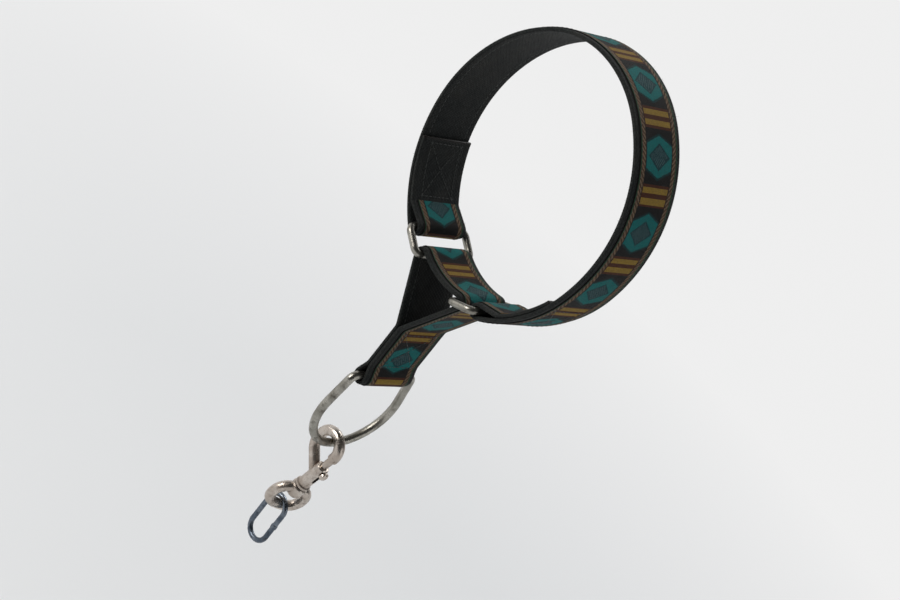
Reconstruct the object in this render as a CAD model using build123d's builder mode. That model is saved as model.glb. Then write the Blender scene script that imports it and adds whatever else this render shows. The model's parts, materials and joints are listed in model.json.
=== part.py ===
from build123d import *
import os
from math import acos, asin, atan2, cos, degrees, hypot, radians, sin

# Collar for a sled dog, as it hangs from a level neck, in millimetres.
# +X runs along the neck towards the head, +Y to the wearer's left, +Z up.
# The origin is the centre of the neck loop.

# Webbing and the patterned ribbon sewn on its outer face
webbing_width = 38.0
webbing_thick = 2.2
ribbon_width = 31.0
ribbon_thick = 0.6
sewn_length = 34.0
fold_lead = 14.0
wrap_play = 0.3
crease_radius = 0.3

# Neck loop: an oval of four arcs, measured at the band's inner face
neck_half_width = 68.0
neck_half_height = 78.0
throat_radius = 58.0

# Welded rectangular rings at the ends of the band
end_wire_radius = 2.1
end_ring_opening = 12.0
end_ring_side_play = 1.0
end_ring_corner = 4.0
end_ring_spread = 18.0

# Control strap: a loop through both end rings, sewn to a tab that carries the leash ring
leg_drop = 36.0
tab_length = 38.0
tab_lead = 9.0

# Leash ring: a straight bar in the strap's fold, and a round bow below it
leash_wire_radius = 2.5
leash_bow_radius = 28.0
leash_bow_drop = 25.0
leash_corner_radius = 4.0
leash_side_play = 0.4

# Snap hook, drawn upright: the arch centre is the drawing's origin,
# and the bolt slides on an axis one arch radius to its right
hook_rod_radius = 3.2
hook_arch_radius = 8.4
hook_tip_length = 1.5
hook_spine_length = 2.5
hook_heel_radius = 9.0
hook_heel_turn = 60.0
hook_play = 0.3
snap_lean = 12.0

# Barrel, bolt and thumb button of the snap
barrel_radius = 3.9
barrel_top = -9.0
barrel_length = 20.0
bolt_radius = 2.2
bolt_play = 0.1
bolt_seat_depth = 1.0
bolt_end_gap = 0.3
bolt_tail = 8.0
bolt_travel = 7.5
bolt_chamfer = 0.4
bore_floor = 1.0
rim_chamfer = 0.6
collar_radius = 4.7
collar_height = 2.6
button_neck = 2.6
button_neck_play = 0.2
button_radius = 2.8
button_thick = 2.6
button_rim = 1.2
slot_top = 1.5

# Swivel eye on the post under the barrel
post_radius = 2.5
post_play = 0.1
post_head_radius = 4.0
post_head_height = 2.2
post_head_rim = 1.0
swivel_gap = 0.4
boss_radius = 5.0
boss_height = 6.4
eye_rod_radius = 3.1
eye_width = 20.0
eye_height = 17.5
eye_corner = 8.0
eye_turn = -20.0

# First wire link of the tether
link_wire_radius = 1.6
link_width = 18.0
link_length = 36.0
link_play = 0.3
link_weld_radius = 2.0
link_weld_length = 3.6

os.makedirs("parts", exist_ok=True)


def save(builder, label):
    """Label a finished piece and write it."""
    builder.part.label = label
    export_step(builder.part, f"parts/{label}.step")


# Geometry of the oval, in the loop's own plane: y to the left, z up
side_radius = (
    neck_half_width**2 + (neck_half_height - throat_radius) ** 2 - throat_radius**2
) / (2 * (neck_half_width - throat_radius))
end_centre = neck_half_height - throat_radius
side_centre = side_radius - neck_half_width
side_half_angle = degrees(atan2(end_centre, side_centre))
throat_centre = (0.0, -end_centre)


def throat_point(radius, angle):
    """Point at a radius from the lower arc's centre, at an angle from straight down."""
    y = radius * sin(radians(angle))
    z = -end_centre - radius * cos(radians(angle))
    return (y, z)


def oval_face(outset):
    """The loop's oval, enlarged by an outset."""
    with BuildSketch() as oval:
        with BuildLine():
            quarter_turn = 180 - 2 * side_half_angle
            side_turn = 2 * side_half_angle
            CenterArc((-side_centre, 0), side_radius + outset, -side_half_angle, side_turn)
            CenterArc((0, end_centre), throat_radius + outset, side_half_angle, quarter_turn)
            CenterArc((side_centre, 0), side_radius + outset, 180 - side_half_angle, side_turn)
            CenterArc(throat_centre, throat_radius + outset, 180 + side_half_angle, quarter_turn)
        make_face()
    return oval.sketch


def throat_sector(first_angle, last_angle):
    """Wedge from the lower arc's centre, between two angles from straight down."""
    reach = 3 * neck_half_height
    with BuildSketch() as wedge:
        with BuildLine():
            corner_angle = (first_angle + last_angle) / 2
            Polyline(
                throat_centre,
                throat_point(reach, first_angle),
                throat_point(reach, corner_angle),
                throat_point(reach, last_angle),
                close=True,
            )
        make_face()
    return wedge.sketch


def hull_face(circles):
    """Tight outline round circles given as (centre, radius)."""
    with BuildSketch() as outline:
        for centre, radius in circles:
            with Locations(centre):
                Circle(radius)
        make_hull()
    return outline.sketch


# Places of the end rings' bars, on one radius from the throat's centre
end_wrap_radius = end_wire_radius + wrap_play
bar_circle = throat_radius - end_wrap_radius
bar_spacing = end_ring_opening + 2 * end_wire_radius
lower_bar_angle = end_ring_spread
upper_bar_angle = lower_bar_angle + 2 * degrees(asin(bar_spacing / 2 / bar_circle))

# Neck band: one layer round the neck, each end folded inwards round its ring
fold_start = upper_bar_angle + degrees(fold_lead / throat_radius)
fold_end = fold_start + degrees(sewn_length / throat_radius)
band_outer = oval_face(webbing_thick)
band_inner = oval_face(0.0)
lining_inner = oval_face(-webbing_thick)
throat_gap = throat_sector(-upper_bar_angle, upper_bar_angle)
band_wraps = []
ribbon_wraps = []
band_eyes = []
band_linings = []
for side in (-1, 1):
    bar = throat_point(bar_circle, side * upper_bar_angle)
    lining = throat_point(throat_radius - webbing_thick / 2, side * fold_start)
    crease_angle = side * (upper_bar_angle + fold_start) / 2
    crease = throat_point(throat_radius - 2 * crease_radius, crease_angle)
    outside = end_wrap_radius + webbing_thick
    band_wraps.append(hull_face([(bar, outside), (lining, webbing_thick / 2)]))
    ribbon_side = (lining, webbing_thick / 2 + ribbon_thick)
    ribbon_wraps.append(hull_face([(bar, outside + ribbon_thick), ribbon_side]))
    band_eyes.append(hull_face([(bar, end_wrap_radius), (crease, crease_radius)]))
    band_linings.append(throat_sector(side * fold_start, side * fold_end))

with BuildPart() as neck_band:
    with BuildSketch(Plane.YZ):
        with BuildSketch(mode=Mode.PRIVATE) as linings:
            for lining in band_linings:
                add(lining)
            add(band_inner, mode=Mode.INTERSECT)
            add(lining_inner, mode=Mode.SUBTRACT)
        add(band_outer)
        add(band_inner, mode=Mode.SUBTRACT)
        add(throat_gap, mode=Mode.SUBTRACT)
        add(linings.sketch)
        for wrap in band_wraps:
            add(wrap)
        for eye in band_eyes:
            add(eye, mode=Mode.SUBTRACT)
    extrude(amount=webbing_width / 2, both=True)
save(neck_band, "neck_band")

# Ribbon on the band's outer face, and on round both bars to the sewn folds
ribbon_outer = oval_face(webbing_thick + ribbon_thick)
with BuildPart() as neck_ribbon:
    with BuildSketch(Plane.YZ):
        add(ribbon_outer)
        add(throat_gap, mode=Mode.SUBTRACT)
        add(band_inner, mode=Mode.SUBTRACT)
        for ribbon_wrap in ribbon_wraps:
            add(ribbon_wrap)
        for wrap in band_wraps:
            add(wrap, mode=Mode.SUBTRACT)
        with BuildSketch(mode=Mode.PRIVATE) as band_layers:
            add(band_outer)
            add(lining_inner, mode=Mode.SUBTRACT)
            add(throat_gap, mode=Mode.SUBTRACT)
        add(band_layers.sketch, mode=Mode.SUBTRACT)
    extrude(amount=ribbon_width / 2, both=True)
save(neck_ribbon, "neck_ribbon")

# End rings: wire bent to a rounded rectangle that lies along the throat
end_ring_width = webbing_width + 2 * end_ring_side_play + 2 * end_wire_radius
ring_middle_angle = (lower_bar_angle + upper_bar_angle) / 2
ring_middle_radius = bar_circle * cos(radians((upper_bar_angle - lower_bar_angle) / 2))
for side, name in ((1, "left"), (-1, "right")):
    middle = throat_point(ring_middle_radius, side * ring_middle_angle)
    inward = (0, -side * sin(radians(ring_middle_angle)), cos(radians(ring_middle_angle)))
    ring_plane = Plane(origin=(0, *middle), x_dir=(1, 0, 0), z_dir=inward)
    with BuildPart() as end_ring:
        with BuildLine(ring_plane):
            half_x = end_ring_width / 2
            half_y = bar_spacing / 2
            wire = FilletPolyline(
                (-half_x, -half_y),
                (half_x, -half_y),
                (half_x, half_y),
                (-half_x, half_y),
                radius=end_ring_corner,
                close=True,
            )
        with BuildSketch(Plane(origin=wire @ 0, z_dir=wire % 0)):
            Circle(end_wire_radius)
        sweep(path=wire)
    save(end_ring, f"end_ring_{name}")

# Control strap: across the throat, out through both rings, and down to the tab
lower_bar = throat_point(bar_circle, lower_bar_angle)
tab_top = (0.0, lower_bar[1] - leg_drop)
leash_bar = (0.0, tab_top[1] - tab_length)
tab_foot = (0.0, leash_bar[1] + tab_lead)
leash_wrap_radius = leash_wire_radius + wrap_play
strand_radius = bar_circle - end_wrap_radius


def loop_face(outset):
    """The strap's upper loop, at an outset from its inner face."""
    bar_radius = end_wrap_radius + outset
    apex_radius = crease_radius + outset
    across = lower_bar[0] - tab_top[0]
    rise = lower_bar[1] - tab_top[1]
    span = hypot(across, rise)
    # Direction, square to the leg, in which the leg touches both circles
    leg_angle = atan2(rise, across)
    touch_angle = leg_angle - radians(90) + asin((apex_radius - bar_radius) / span)
    touch = (cos(touch_angle), sin(touch_angle))
    leg_top = (lower_bar[0] + bar_radius * touch[0], lower_bar[1] + bar_radius * touch[1])
    leg_foot = (tab_top[0] + apex_radius * touch[0], tab_top[1] + apex_radius * touch[1])
    touch_degrees = degrees(touch_angle)
    with BuildSketch() as outline:
        with BuildLine():
            CenterArc(throat_centre, strand_radius - outset, -90, lower_bar_angle)
            over_bar = 90 + lower_bar_angle - touch_degrees
            CenterArc(lower_bar, bar_radius, touch_degrees, over_bar)
            Line(leg_foot, leg_top)
            CenterArc(tab_top, apex_radius, -90, 90 + touch_degrees)
            mirror(about=Plane.YZ)
        make_face()
    return outline.sketch


def strap_face(proud):
    """Outline of the whole strap, loop and tab, standing proud of its outer face."""
    layers = webbing_thick + proud
    with BuildSketch() as outline:
        add(loop_face(layers))
        add(hull_face([(tab_top, layers), (tab_foot, layers)]))
        add(hull_face([(tab_foot, layers), (leash_bar, leash_wrap_radius + layers)]))
    return outline.sketch


strap_outer = strap_face(0.0)
loop_inner = loop_face(0.0)
tab_crease = (0.0, (leash_bar[1] + tab_foot[1]) / 2)
tab_eye = hull_face([(leash_bar, leash_wrap_radius), (tab_crease, crease_radius)])
with BuildPart() as control_strap:
    with BuildSketch(Plane.YZ):
        add(strap_outer)
        add(loop_inner, mode=Mode.SUBTRACT)
        add(tab_eye, mode=Mode.SUBTRACT)
    extrude(amount=webbing_width / 2, both=True)
save(control_strap, "control_strap")

with BuildPart() as control_ribbon:
    with BuildSketch(Plane.YZ):
        add(strap_face(ribbon_thick))
        add(strap_outer, mode=Mode.SUBTRACT)
    extrude(amount=ribbon_width / 2, both=True)
save(control_ribbon, "control_ribbon")

# Leash ring: the bar's corners, then straight flanks that run tangent into the bow
corner_x = webbing_width / 2 + leash_side_play + leash_corner_radius
corner_reach = hypot(corner_x, leash_bow_drop)
flank_angle = atan2(leash_bow_drop, corner_x) - acos(leash_bow_radius / corner_reach)
flank_x = leash_bow_radius * cos(flank_angle)
flank_z = -leash_bow_drop + leash_bow_radius * sin(flank_angle)
leash_plane = Plane(origin=(0, *leash_bar), x_dir=(1, 0, 0), z_dir=(0, -1, 0))
with BuildPart() as leash_ring:
    with BuildLine(leash_plane) as leash_wire:
        FilletPolyline(
            (-flank_x, flank_z),
            (-corner_x, 0),
            (corner_x, 0),
            (flank_x, flank_z),
            radius=leash_corner_radius,
        )
        bow_foot = (0, -leash_bow_drop - leash_bow_radius)
        ThreePointArc((flank_x, flank_z), bow_foot, (-flank_x, flank_z))
    wire = leash_wire.wires()[0]
    with BuildSketch(Plane(origin=wire @ 0, z_dir=wire % 0)):
        Circle(leash_wire_radius)
    sweep(path=wire)
save(leash_ring, "leash_ring")

# The snap hangs on the bow's foot, leaning so that its weight is under the wire
bow_foot_z = leash_bar[1] - leash_bow_drop - leash_bow_radius
arch_inner_radius = hook_arch_radius - hook_rod_radius
arch_centre_z = bow_foot_z - (arch_inner_radius - leash_wire_radius - hook_play)
lean_cos = cos(radians(snap_lean))
lean_sin = sin(radians(snap_lean))
snap_plane = Plane(origin=(0, 0, arch_centre_z), x_dir=(0, lean_cos, -lean_sin), z_dir=(1, 0, 0))
bolt_axis_x = hook_arch_radius
barrel_foot = barrel_top - barrel_length
barrel_axis = Axis(snap_plane.from_local_coords((bolt_axis_x, 0, 0)), snap_plane.y_dir)


def barrel_section(height):
    """Plane square to the barrel's axis, at a height in the snap's drawing."""
    origin = snap_plane.from_local_coords((bolt_axis_x, height, 0))
    return Plane(origin=origin, x_dir=snap_plane.x_dir, z_dir=snap_plane.y_dir)


def dome_radius(half_width, rise):
    """Radius of a dome of that half width and rise."""
    return (half_width**2 + rise**2) / (2 * rise)


# Snap body: bent rod, barrel with its bore and thumb slot, post and riveted head
heel_start = (-hook_arch_radius, -hook_spine_length)
heel_centre_x = heel_start[0] + hook_heel_radius
heel_end_x = heel_centre_x - hook_heel_radius * cos(radians(hook_heel_turn))
heel_end_y = heel_start[1] - hook_heel_radius * sin(radians(hook_heel_turn))
heel_run = (bolt_axis_x - heel_end_x) / sin(radians(hook_heel_turn))
heel_foot_y = heel_end_y - heel_run * cos(radians(hook_heel_turn))
button_height = barrel_top - slot_top - button_neck / 2 - button_neck_play
slot_low = button_height - button_neck / 2 - button_neck_play - bolt_travel
slot_high = barrel_top - slot_top
seat_height = -hook_tip_length + bolt_seat_depth
post_length = swivel_gap + boss_height + swivel_gap
head_top = barrel_foot - post_length
head_foot = head_top - post_head_height
with BuildPart() as snap_body:
    with BuildLine(snap_plane) as hook_line:
        Line((bolt_axis_x, -hook_tip_length), (bolt_axis_x, 0))
        ThreePointArc((bolt_axis_x, 0), (0, hook_arch_radius), (-hook_arch_radius, 0))
        Line((-hook_arch_radius, 0), heel_start)
        JernArc(heel_start, (0, -1), hook_heel_radius, hook_heel_turn)
        Line((heel_end_x, heel_end_y), (bolt_axis_x, heel_foot_y))
    hook_path = hook_line.wires()[0]
    with BuildSketch(Plane(origin=hook_path @ 0, z_dir=hook_path % 0)):
        Circle(hook_rod_radius)
    sweep(path=hook_path)
    with BuildSketch(snap_plane):
        with BuildLine():
            profile = Polyline(
                (bolt_axis_x, barrel_top),
                (bolt_axis_x + barrel_radius - rim_chamfer, barrel_top),
                (bolt_axis_x + barrel_radius, barrel_top - rim_chamfer),
                (bolt_axis_x + barrel_radius, barrel_foot + collar_height),
                (bolt_axis_x + collar_radius, barrel_foot + collar_height - rim_chamfer),
                (bolt_axis_x + collar_radius, barrel_foot + rim_chamfer),
                (bolt_axis_x + collar_radius - rim_chamfer, barrel_foot),
                (bolt_axis_x + post_radius, barrel_foot),
                (bolt_axis_x + post_radius, head_top),
                (bolt_axis_x + post_head_radius, head_top),
                (bolt_axis_x + post_head_radius, head_top - post_head_rim),
            )
            head_dome = dome_radius(post_head_radius, post_head_height - post_head_rim)
            RadiusArc(profile @ 1, (bolt_axis_x, head_foot), head_dome)
            Line((bolt_axis_x, head_foot), (bolt_axis_x, barrel_top))
        make_face()
    revolve(axis=barrel_axis)
    with BuildSketch(barrel_section(barrel_foot + bore_floor)):
        Circle(bolt_radius + bolt_play)
    extrude(amount=barrel_length, mode=Mode.SUBTRACT)
    with BuildSketch(barrel_section(-hook_tip_length - bolt_seat_depth)):
        Circle(bolt_radius + bolt_play)
    extrude(amount=2 * bolt_seat_depth, mode=Mode.SUBTRACT)
    slot_middle = (bolt_axis_x, (slot_low + slot_high) / 2)
    with BuildSketch(Plane(
        origin=snap_plane.from_local_coords((*slot_middle, 0)),
        x_dir=snap_plane.y_dir,
        z_dir=snap_plane.x_dir,
    )):
        SlotOverall(slot_high - slot_low, button_neck + 2 * button_neck_play)
    extrude(amount=2 * barrel_radius, mode=Mode.SUBTRACT)
save(snap_body, "snap_body")

# Bolt with its thumb button, closed against the hook's tip
bolt_top = seat_height - bolt_end_gap
bolt_foot = barrel_top - bolt_tail
with BuildPart() as snap_bolt:
    with BuildSketch(barrel_section(bolt_foot)):
        Circle(bolt_radius)
    extrude(amount=bolt_top - bolt_foot)
    chamfer(snap_bolt.edges().filter_by(GeomType.CIRCLE), length=bolt_chamfer)
    button_seat = bolt_axis_x + barrel_radius + button_neck_play
    button_face = button_seat + button_thick
    with BuildSketch(snap_plane):
        with BuildLine():
            profile = Polyline(
                (bolt_axis_x, button_height),
                (bolt_axis_x, button_height + button_neck / 2),
                (button_seat, button_height + button_neck / 2),
                (button_seat, button_height + button_radius),
                (button_seat + button_rim, button_height + button_radius),
            )
            button_dome = dome_radius(button_radius, button_thick - button_rim)
            RadiusArc(profile @ 1, (button_face, button_height), button_dome)
            Line((button_face, button_height), (bolt_axis_x, button_height))
        make_face()
    button_point = snap_plane.from_local_coords((bolt_axis_x, button_height, 0))
    revolve(axis=Axis(button_point, snap_plane.x_dir))
save(snap_bolt, "snap_bolt")

# Swivel eye: a bored boss on the post, and a rounded loop below it
boss_top = barrel_foot - swivel_gap
eye_middle = boss_top - boss_height / 2 - eye_height / 2
eye_across = Vector(cos(radians(eye_turn)), 0, 0) + snap_plane.x_dir * sin(radians(eye_turn))
eye_normal = eye_across.cross(snap_plane.y_dir)
eye_plane = Plane(
    origin=snap_plane.from_local_coords((bolt_axis_x, eye_middle, 0)),
    x_dir=eye_across,
    z_dir=eye_normal,
)
with BuildPart() as swivel_eye:
    with BuildLine(eye_plane):
        half_x = eye_width / 2
        half_y = eye_height / 2
        eye_wire = FilletPolyline(
            (-half_x, -half_y),
            (half_x, -half_y),
            (half_x, half_y),
            (-half_x, half_y),
            radius=eye_corner,
            close=True,
        )
    with BuildSketch(Plane(origin=eye_wire @ 0, z_dir=eye_wire % 0)):
        Circle(eye_rod_radius)
    sweep(path=eye_wire)
    with BuildSketch(snap_plane):
        with BuildLine():
            Polyline(
                (bolt_axis_x, boss_top),
                (bolt_axis_x + boss_radius - rim_chamfer, boss_top),
                (bolt_axis_x + boss_radius, boss_top - rim_chamfer),
                (bolt_axis_x + boss_radius, boss_top - boss_height + rim_chamfer),
                (bolt_axis_x + boss_radius - rim_chamfer, boss_top - boss_height),
                (bolt_axis_x, boss_top - boss_height),
                close=True,
            )
        make_face()
    revolve(axis=barrel_axis)
    with BuildSketch(barrel_section(boss_top)):
        Circle(post_radius + post_play)
    extrude(amount=-boss_height, mode=Mode.SUBTRACT)
save(swivel_eye, "swivel_eye")

# Tether link: hangs straight down from the eye's lower bend
eye_foot = snap_plane.from_local_coords((bolt_axis_x, eye_middle - eye_height / 2, 0))
link_bend = link_width / 2 - link_wire_radius
link_run = link_length - link_width
link_top = eye_rod_radius + link_play + link_wire_radius
link_middle = eye_foot + Vector(0, 0, link_top - link_bend - link_run / 2)
link_plane = Plane(origin=link_middle, x_dir=(0, 1, 0), z_dir=(1, 0, 0))
with BuildPart() as tether_link:
    with BuildLine(link_plane) as link_line:
        Line((link_bend, -link_run / 2), (link_bend, link_run / 2))
        ThreePointArc((link_bend, link_run / 2), (0, link_run / 2 + link_bend), (-link_bend, link_run / 2))
        Line((-link_bend, link_run / 2), (-link_bend, -link_run / 2))
        ThreePointArc((-link_bend, -link_run / 2), (0, -link_run / 2 - link_bend), (link_bend, -link_run / 2))
    link_path = link_line.wires()[0]
    with BuildSketch(Plane(origin=link_path @ 0, z_dir=link_path % 0)):
        Circle(link_wire_radius)
    sweep(path=link_path)
    # Swollen butt weld in the middle of one side
    with BuildSketch(link_plane):
        with BuildLine():
            half_weld = link_weld_length / 2
            bead = Polyline(
                (link_bend + link_wire_radius, half_weld),
                (link_bend, half_weld),
                (link_bend, -half_weld),
                (link_bend + link_wire_radius, -half_weld),
            )
            ThreePointArc(bead @ 1, (link_bend + link_weld_radius, 0), bead @ 0)
        make_face()
    revolve(axis=Axis(link_plane.from_local_coords((link_bend, 0, 0)), link_plane.y_dir))
save(tether_link, "tether_link")

# Places that the joints turn or slide about, in the collar's own frame
print("leash bar", leash_bar)
print("bow foot", bow_foot_z)
print("snap axis", snap_plane.y_dir)
print("eye axis point", snap_plane.from_local_coords((bolt_axis_x, boss_top, 0)))
print("eye foot", eye_foot, "across", eye_across)
print("link foot", link_middle - Vector(0, 0, link_run / 2 + link_bend))
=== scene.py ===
# %% [markdown]
# # A patterned collar with its leash ring and swivel snap
# The collar hangs in the shape in which it is worn: a band of webbing with a woven
# ribbon, two end rings, a control strap that runs through both, and below it the
# leash ring, a bolt snap, its swivel eye and one wire link. The rigid pieces come
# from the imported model, where their sizes are exact, and only get their metals here.
# The straps are plain solids there, so this lesson weaves new ones in their place.

import json
import math

import bpy
import numpy as np
from mathutils import Matrix, Vector


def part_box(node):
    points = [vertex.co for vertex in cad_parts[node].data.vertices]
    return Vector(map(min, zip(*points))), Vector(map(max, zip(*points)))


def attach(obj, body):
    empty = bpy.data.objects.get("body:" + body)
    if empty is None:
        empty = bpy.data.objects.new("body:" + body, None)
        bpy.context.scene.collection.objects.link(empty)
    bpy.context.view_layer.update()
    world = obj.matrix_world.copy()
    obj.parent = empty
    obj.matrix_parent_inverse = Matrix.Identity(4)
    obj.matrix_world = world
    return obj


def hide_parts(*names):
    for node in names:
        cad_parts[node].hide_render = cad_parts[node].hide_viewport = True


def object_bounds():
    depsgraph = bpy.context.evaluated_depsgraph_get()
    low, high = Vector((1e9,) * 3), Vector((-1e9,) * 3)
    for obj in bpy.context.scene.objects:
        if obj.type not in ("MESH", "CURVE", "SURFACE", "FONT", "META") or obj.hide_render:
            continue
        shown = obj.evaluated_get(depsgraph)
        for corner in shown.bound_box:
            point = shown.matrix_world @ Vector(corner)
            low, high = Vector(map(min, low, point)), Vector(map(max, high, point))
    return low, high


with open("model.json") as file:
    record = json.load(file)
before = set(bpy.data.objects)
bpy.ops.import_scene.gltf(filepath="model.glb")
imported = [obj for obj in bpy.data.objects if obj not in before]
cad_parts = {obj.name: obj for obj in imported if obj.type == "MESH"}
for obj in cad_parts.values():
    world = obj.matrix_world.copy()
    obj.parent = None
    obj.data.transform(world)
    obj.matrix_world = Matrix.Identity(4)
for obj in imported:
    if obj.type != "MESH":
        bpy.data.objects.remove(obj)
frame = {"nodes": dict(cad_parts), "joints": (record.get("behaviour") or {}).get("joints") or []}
cad_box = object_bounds()
print("nodes", sorted(frame["nodes"]))

# %% [markdown]
# ## Sizes
# A strap's width could be typed in here, but then the cloth would no longer fit its
# rings once the model changed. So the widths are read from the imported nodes. Only
# the few sizes that a box can't tell are written, where they are first needed.

# %% Strap sizes
MM = 0.001
webbing_thick = 2.2 * MM
half_thick = webbing_thick / 2
band_low, band_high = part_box("neck_band")
ribbon_low, ribbon_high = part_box("neck_ribbon")
webbing_width = band_high.x - band_low.x
ribbon_width = ribbon_high.x - ribbon_low.x
ribbon_thick = ribbon_high.z - band_high.z
print("webbing", round(webbing_width / MM, 1), "mm, ribbon", round(ribbon_width / MM, 1), "mm")

# %% [markdown]
# ## Camera
# The picture was taken from in front of the collar and a little to its left, level
# with it. The worn collar leans, and the model hangs straight. Leaning the model
# would turn every axis in it, so the camera stands higher and is rolled instead.

# %% The camera's directions
view_turn = 33.0
view_rise = 26.0
view_roll = 38.5

turn, rise, roll = (math.radians(angle) for angle in (view_turn, view_rise, view_roll))
back = Vector((math.cos(rise) * math.cos(turn), math.cos(rise) * math.sin(turn), math.sin(rise)))
level_right = Vector((0, 0, 1)).cross(back).normalized()
level_up = back.cross(level_right)
right = level_right * math.cos(roll) + level_up * math.sin(roll)
up = back.cross(right)
print("the camera's back faces", [round(v, 3) for v in back])

# %% [markdown]
# The camera's distance is the picture's, which keeps its perspective. The lens could
# be found by trying. Here it is worked out from how wide and how high the model looks
# along the camera's directions, so that it always fills the frame.

# %% Camera
view_distance = 1.2
frame_shape = 900 / 600
filled = 0.87
sensor_width = 36


def spread_along(way):
    """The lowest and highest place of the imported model's points along a direction."""
    reach = [vertex.co.dot(way) for node in frame["nodes"].values() for vertex in node.data.vertices]
    return min(reach), max(reach)


wide, high, deep = (spread_along(way) for way in (right, up, back))
aim = right * sum(wide) / 2 + up * sum(high) / 2 + back * sum(deep) / 2
half_seen = max(wide[1] - wide[0], (high[1] - high[0]) * frame_shape) / 2 / filled
lens_length = sensor_width / 2 * view_distance / half_seen

camera = bpy.data.objects.new("camera", bpy.data.cameras.new("camera"))
bpy.context.collection.objects.link(camera)
camera.data.lens = lens_length
camera.data.sensor_width = sensor_width
camera.matrix_world = Matrix((
    (right.x, up.x, back.x, aim.x + back.x * view_distance),
    (right.y, up.y, back.y, aim.y + back.y * view_distance),
    (right.z, up.z, back.z, aim.z + back.z * view_distance),
    (0, 0, 0, 1),
))
bpy.context.scene.camera = camera
bpy.context.scene.view_settings.view_transform = "Standard"
print("lens", round(lens_length, 1), "mm")

# %% [markdown]
# ## Material helpers
# Every finish is a small net of nodes. Adding, setting and linking each node takes
# several lines, and the net gets lost in them. So one helper adds a node and plugs
# its inputs in order, and the nets below read like formulas.

# %% Nodes as formulas
FLOAT = "NodeSocketFloat"
COLOUR = "NodeSocketColor"
VECTOR = "NodeSocketVector"


def plug(tree, socket, value):
    """Links an output into a socket, or sets the socket's own value."""
    if isinstance(value, bpy.types.NodeSocket):
        tree.links.new(value, socket)
    elif value is not None:
        socket.default_value = value


def add(tree, kind, *values, **settings):
    """Adds a node with its settings, and plugs its inputs in order."""
    made = tree.nodes.new(kind)
    for name, value in settings.items():
        setattr(made, name, value)
    for socket, value in zip(made.inputs, values):
        plug(tree, socket, value)
    return made


def maths(tree, operation, *values):
    """One step of arithmetic on shader values."""
    return add(tree, "ShaderNodeMath", *values, operation=operation).outputs[0]


def mix(tree, share, first, second, kind="MIX"):
    """A colour between two colours."""
    made = tree.nodes.new("ShaderNodeMix")
    made.data_type = "RGBA"
    made.blend_type = kind
    plug(tree, made.inputs[0], share)
    plug(tree, made.inputs[6], first)
    plug(tree, made.inputs[7], second)
    return made.outputs[2]


def spread(tree, value, low, high, first=0.0, last=1.0):
    """Maps a value from one range to another, and stops at its ends."""
    return add(tree, "ShaderNodeMapRange", value, low, high, first, last).outputs[0]


# %% [markdown]
# What several finishes share, such as threads, dust and wear, is built once as a
# group with named sockets. Each material places the group with its own values. A
# copy of the nodes in every material would work too, but would drift apart.

# %% Groups and materials


def group(name, inputs, outputs):
    """A shader group with named sockets: returns its tree, inputs and output node."""
    tree = bpy.data.node_groups.new(name, "ShaderNodeTree")
    for label, kind, value in inputs:
        socket = tree.interface.new_socket(label, in_out="INPUT", socket_type=kind)
        socket.default_value = value
    for label, kind in outputs:
        tree.interface.new_socket(label, in_out="OUTPUT", socket_type=kind)
    entry = tree.nodes.new("NodeGroupInput")
    leave = tree.nodes.new("NodeGroupOutput")
    return tree, entry.outputs, leave.inputs


def use(tree, made, **values):
    """Places a group in a material with its own values, and returns its outputs."""
    placed = tree.nodes.new("ShaderNodeGroup")
    placed.node_tree = made
    for name, value in values.items():
        plug(tree, placed.inputs[name.replace("_", " ")], value)
    return placed.outputs


def material(name):
    """A new material: returns it, its tree and its Principled shader."""
    made = bpy.data.materials.new(name)
    made.use_nodes = True
    return made, made.node_tree, made.node_tree.nodes["Principled BSDF"]


# %% [markdown]
# ## Shared effects
# Woven cloth could be a picture of threads, which blurs close up and shows its tiles.
# Here the threads are worked out instead, from the strap's own UV map: which thread a
# point lies on, how high it stands, and how its shade differs from its neighbours'.
# A pick is a thread across the strap, and an end is one along it.

# %% Group: thread grid
thread_grid, thread_in, thread_out = group(
    "thread_grid",
    [("Along", FLOAT, 0.0), ("Across", FLOAT, 0.0), ("Pick", FLOAT, 0.5), ("End", FLOAT, 0.5)],
    [("Along", FLOAT), ("Across", FLOAT), ("Height", FLOAT), ("Shade", FLOAT)],
)
cells = []
bumps = []
for way, thread_size in (("Along", "Pick"), ("Across", "End")):
    count = maths(thread_grid, "DIVIDE", thread_in[way], thread_in[thread_size])
    cell = maths(thread_grid, "FLOOR", count)
    middle = maths(thread_grid, "ADD", cell, 0.5)
    plug(thread_grid, thread_out[way], maths(thread_grid, "MULTIPLY", middle, thread_in[thread_size]))
    wave = maths(thread_grid, "SINE", maths(thread_grid, "MULTIPLY", count, math.pi))
    cells.append(cell)
    bumps.append(maths(thread_grid, "ABSOLUTE", wave))
cell_place = add(thread_grid, "ShaderNodeCombineXYZ", *cells, 0.0).outputs[0]
cell_noise = add(thread_grid, "ShaderNodeTexWhiteNoise", cell_place, noise_dimensions="2D")
plug(thread_grid, thread_out["Height"], maths(thread_grid, "MULTIPLY", *bumps))
plug(thread_grid, thread_out["Shade"], cell_noise.outputs["Value"])
print("thread grid of", len(thread_grid.nodes), "nodes")

# %% [markdown]
# Outdoor use leaves dust in cloth, in soft patches made of specks. It could be
# painted by hand, and would have to be painted again after each change. Two noises,
# a coarse one for the patches and a fine one for the specks, follow any change.

# %% Group: soil


def noise(tree, place, scale, layers, rough):
    """Cloudy noise: how fine it is, how many layers it has, and how rough they are."""
    return add(tree, "ShaderNodeTexNoise", place, None, scale, layers, rough).outputs[0]


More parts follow.
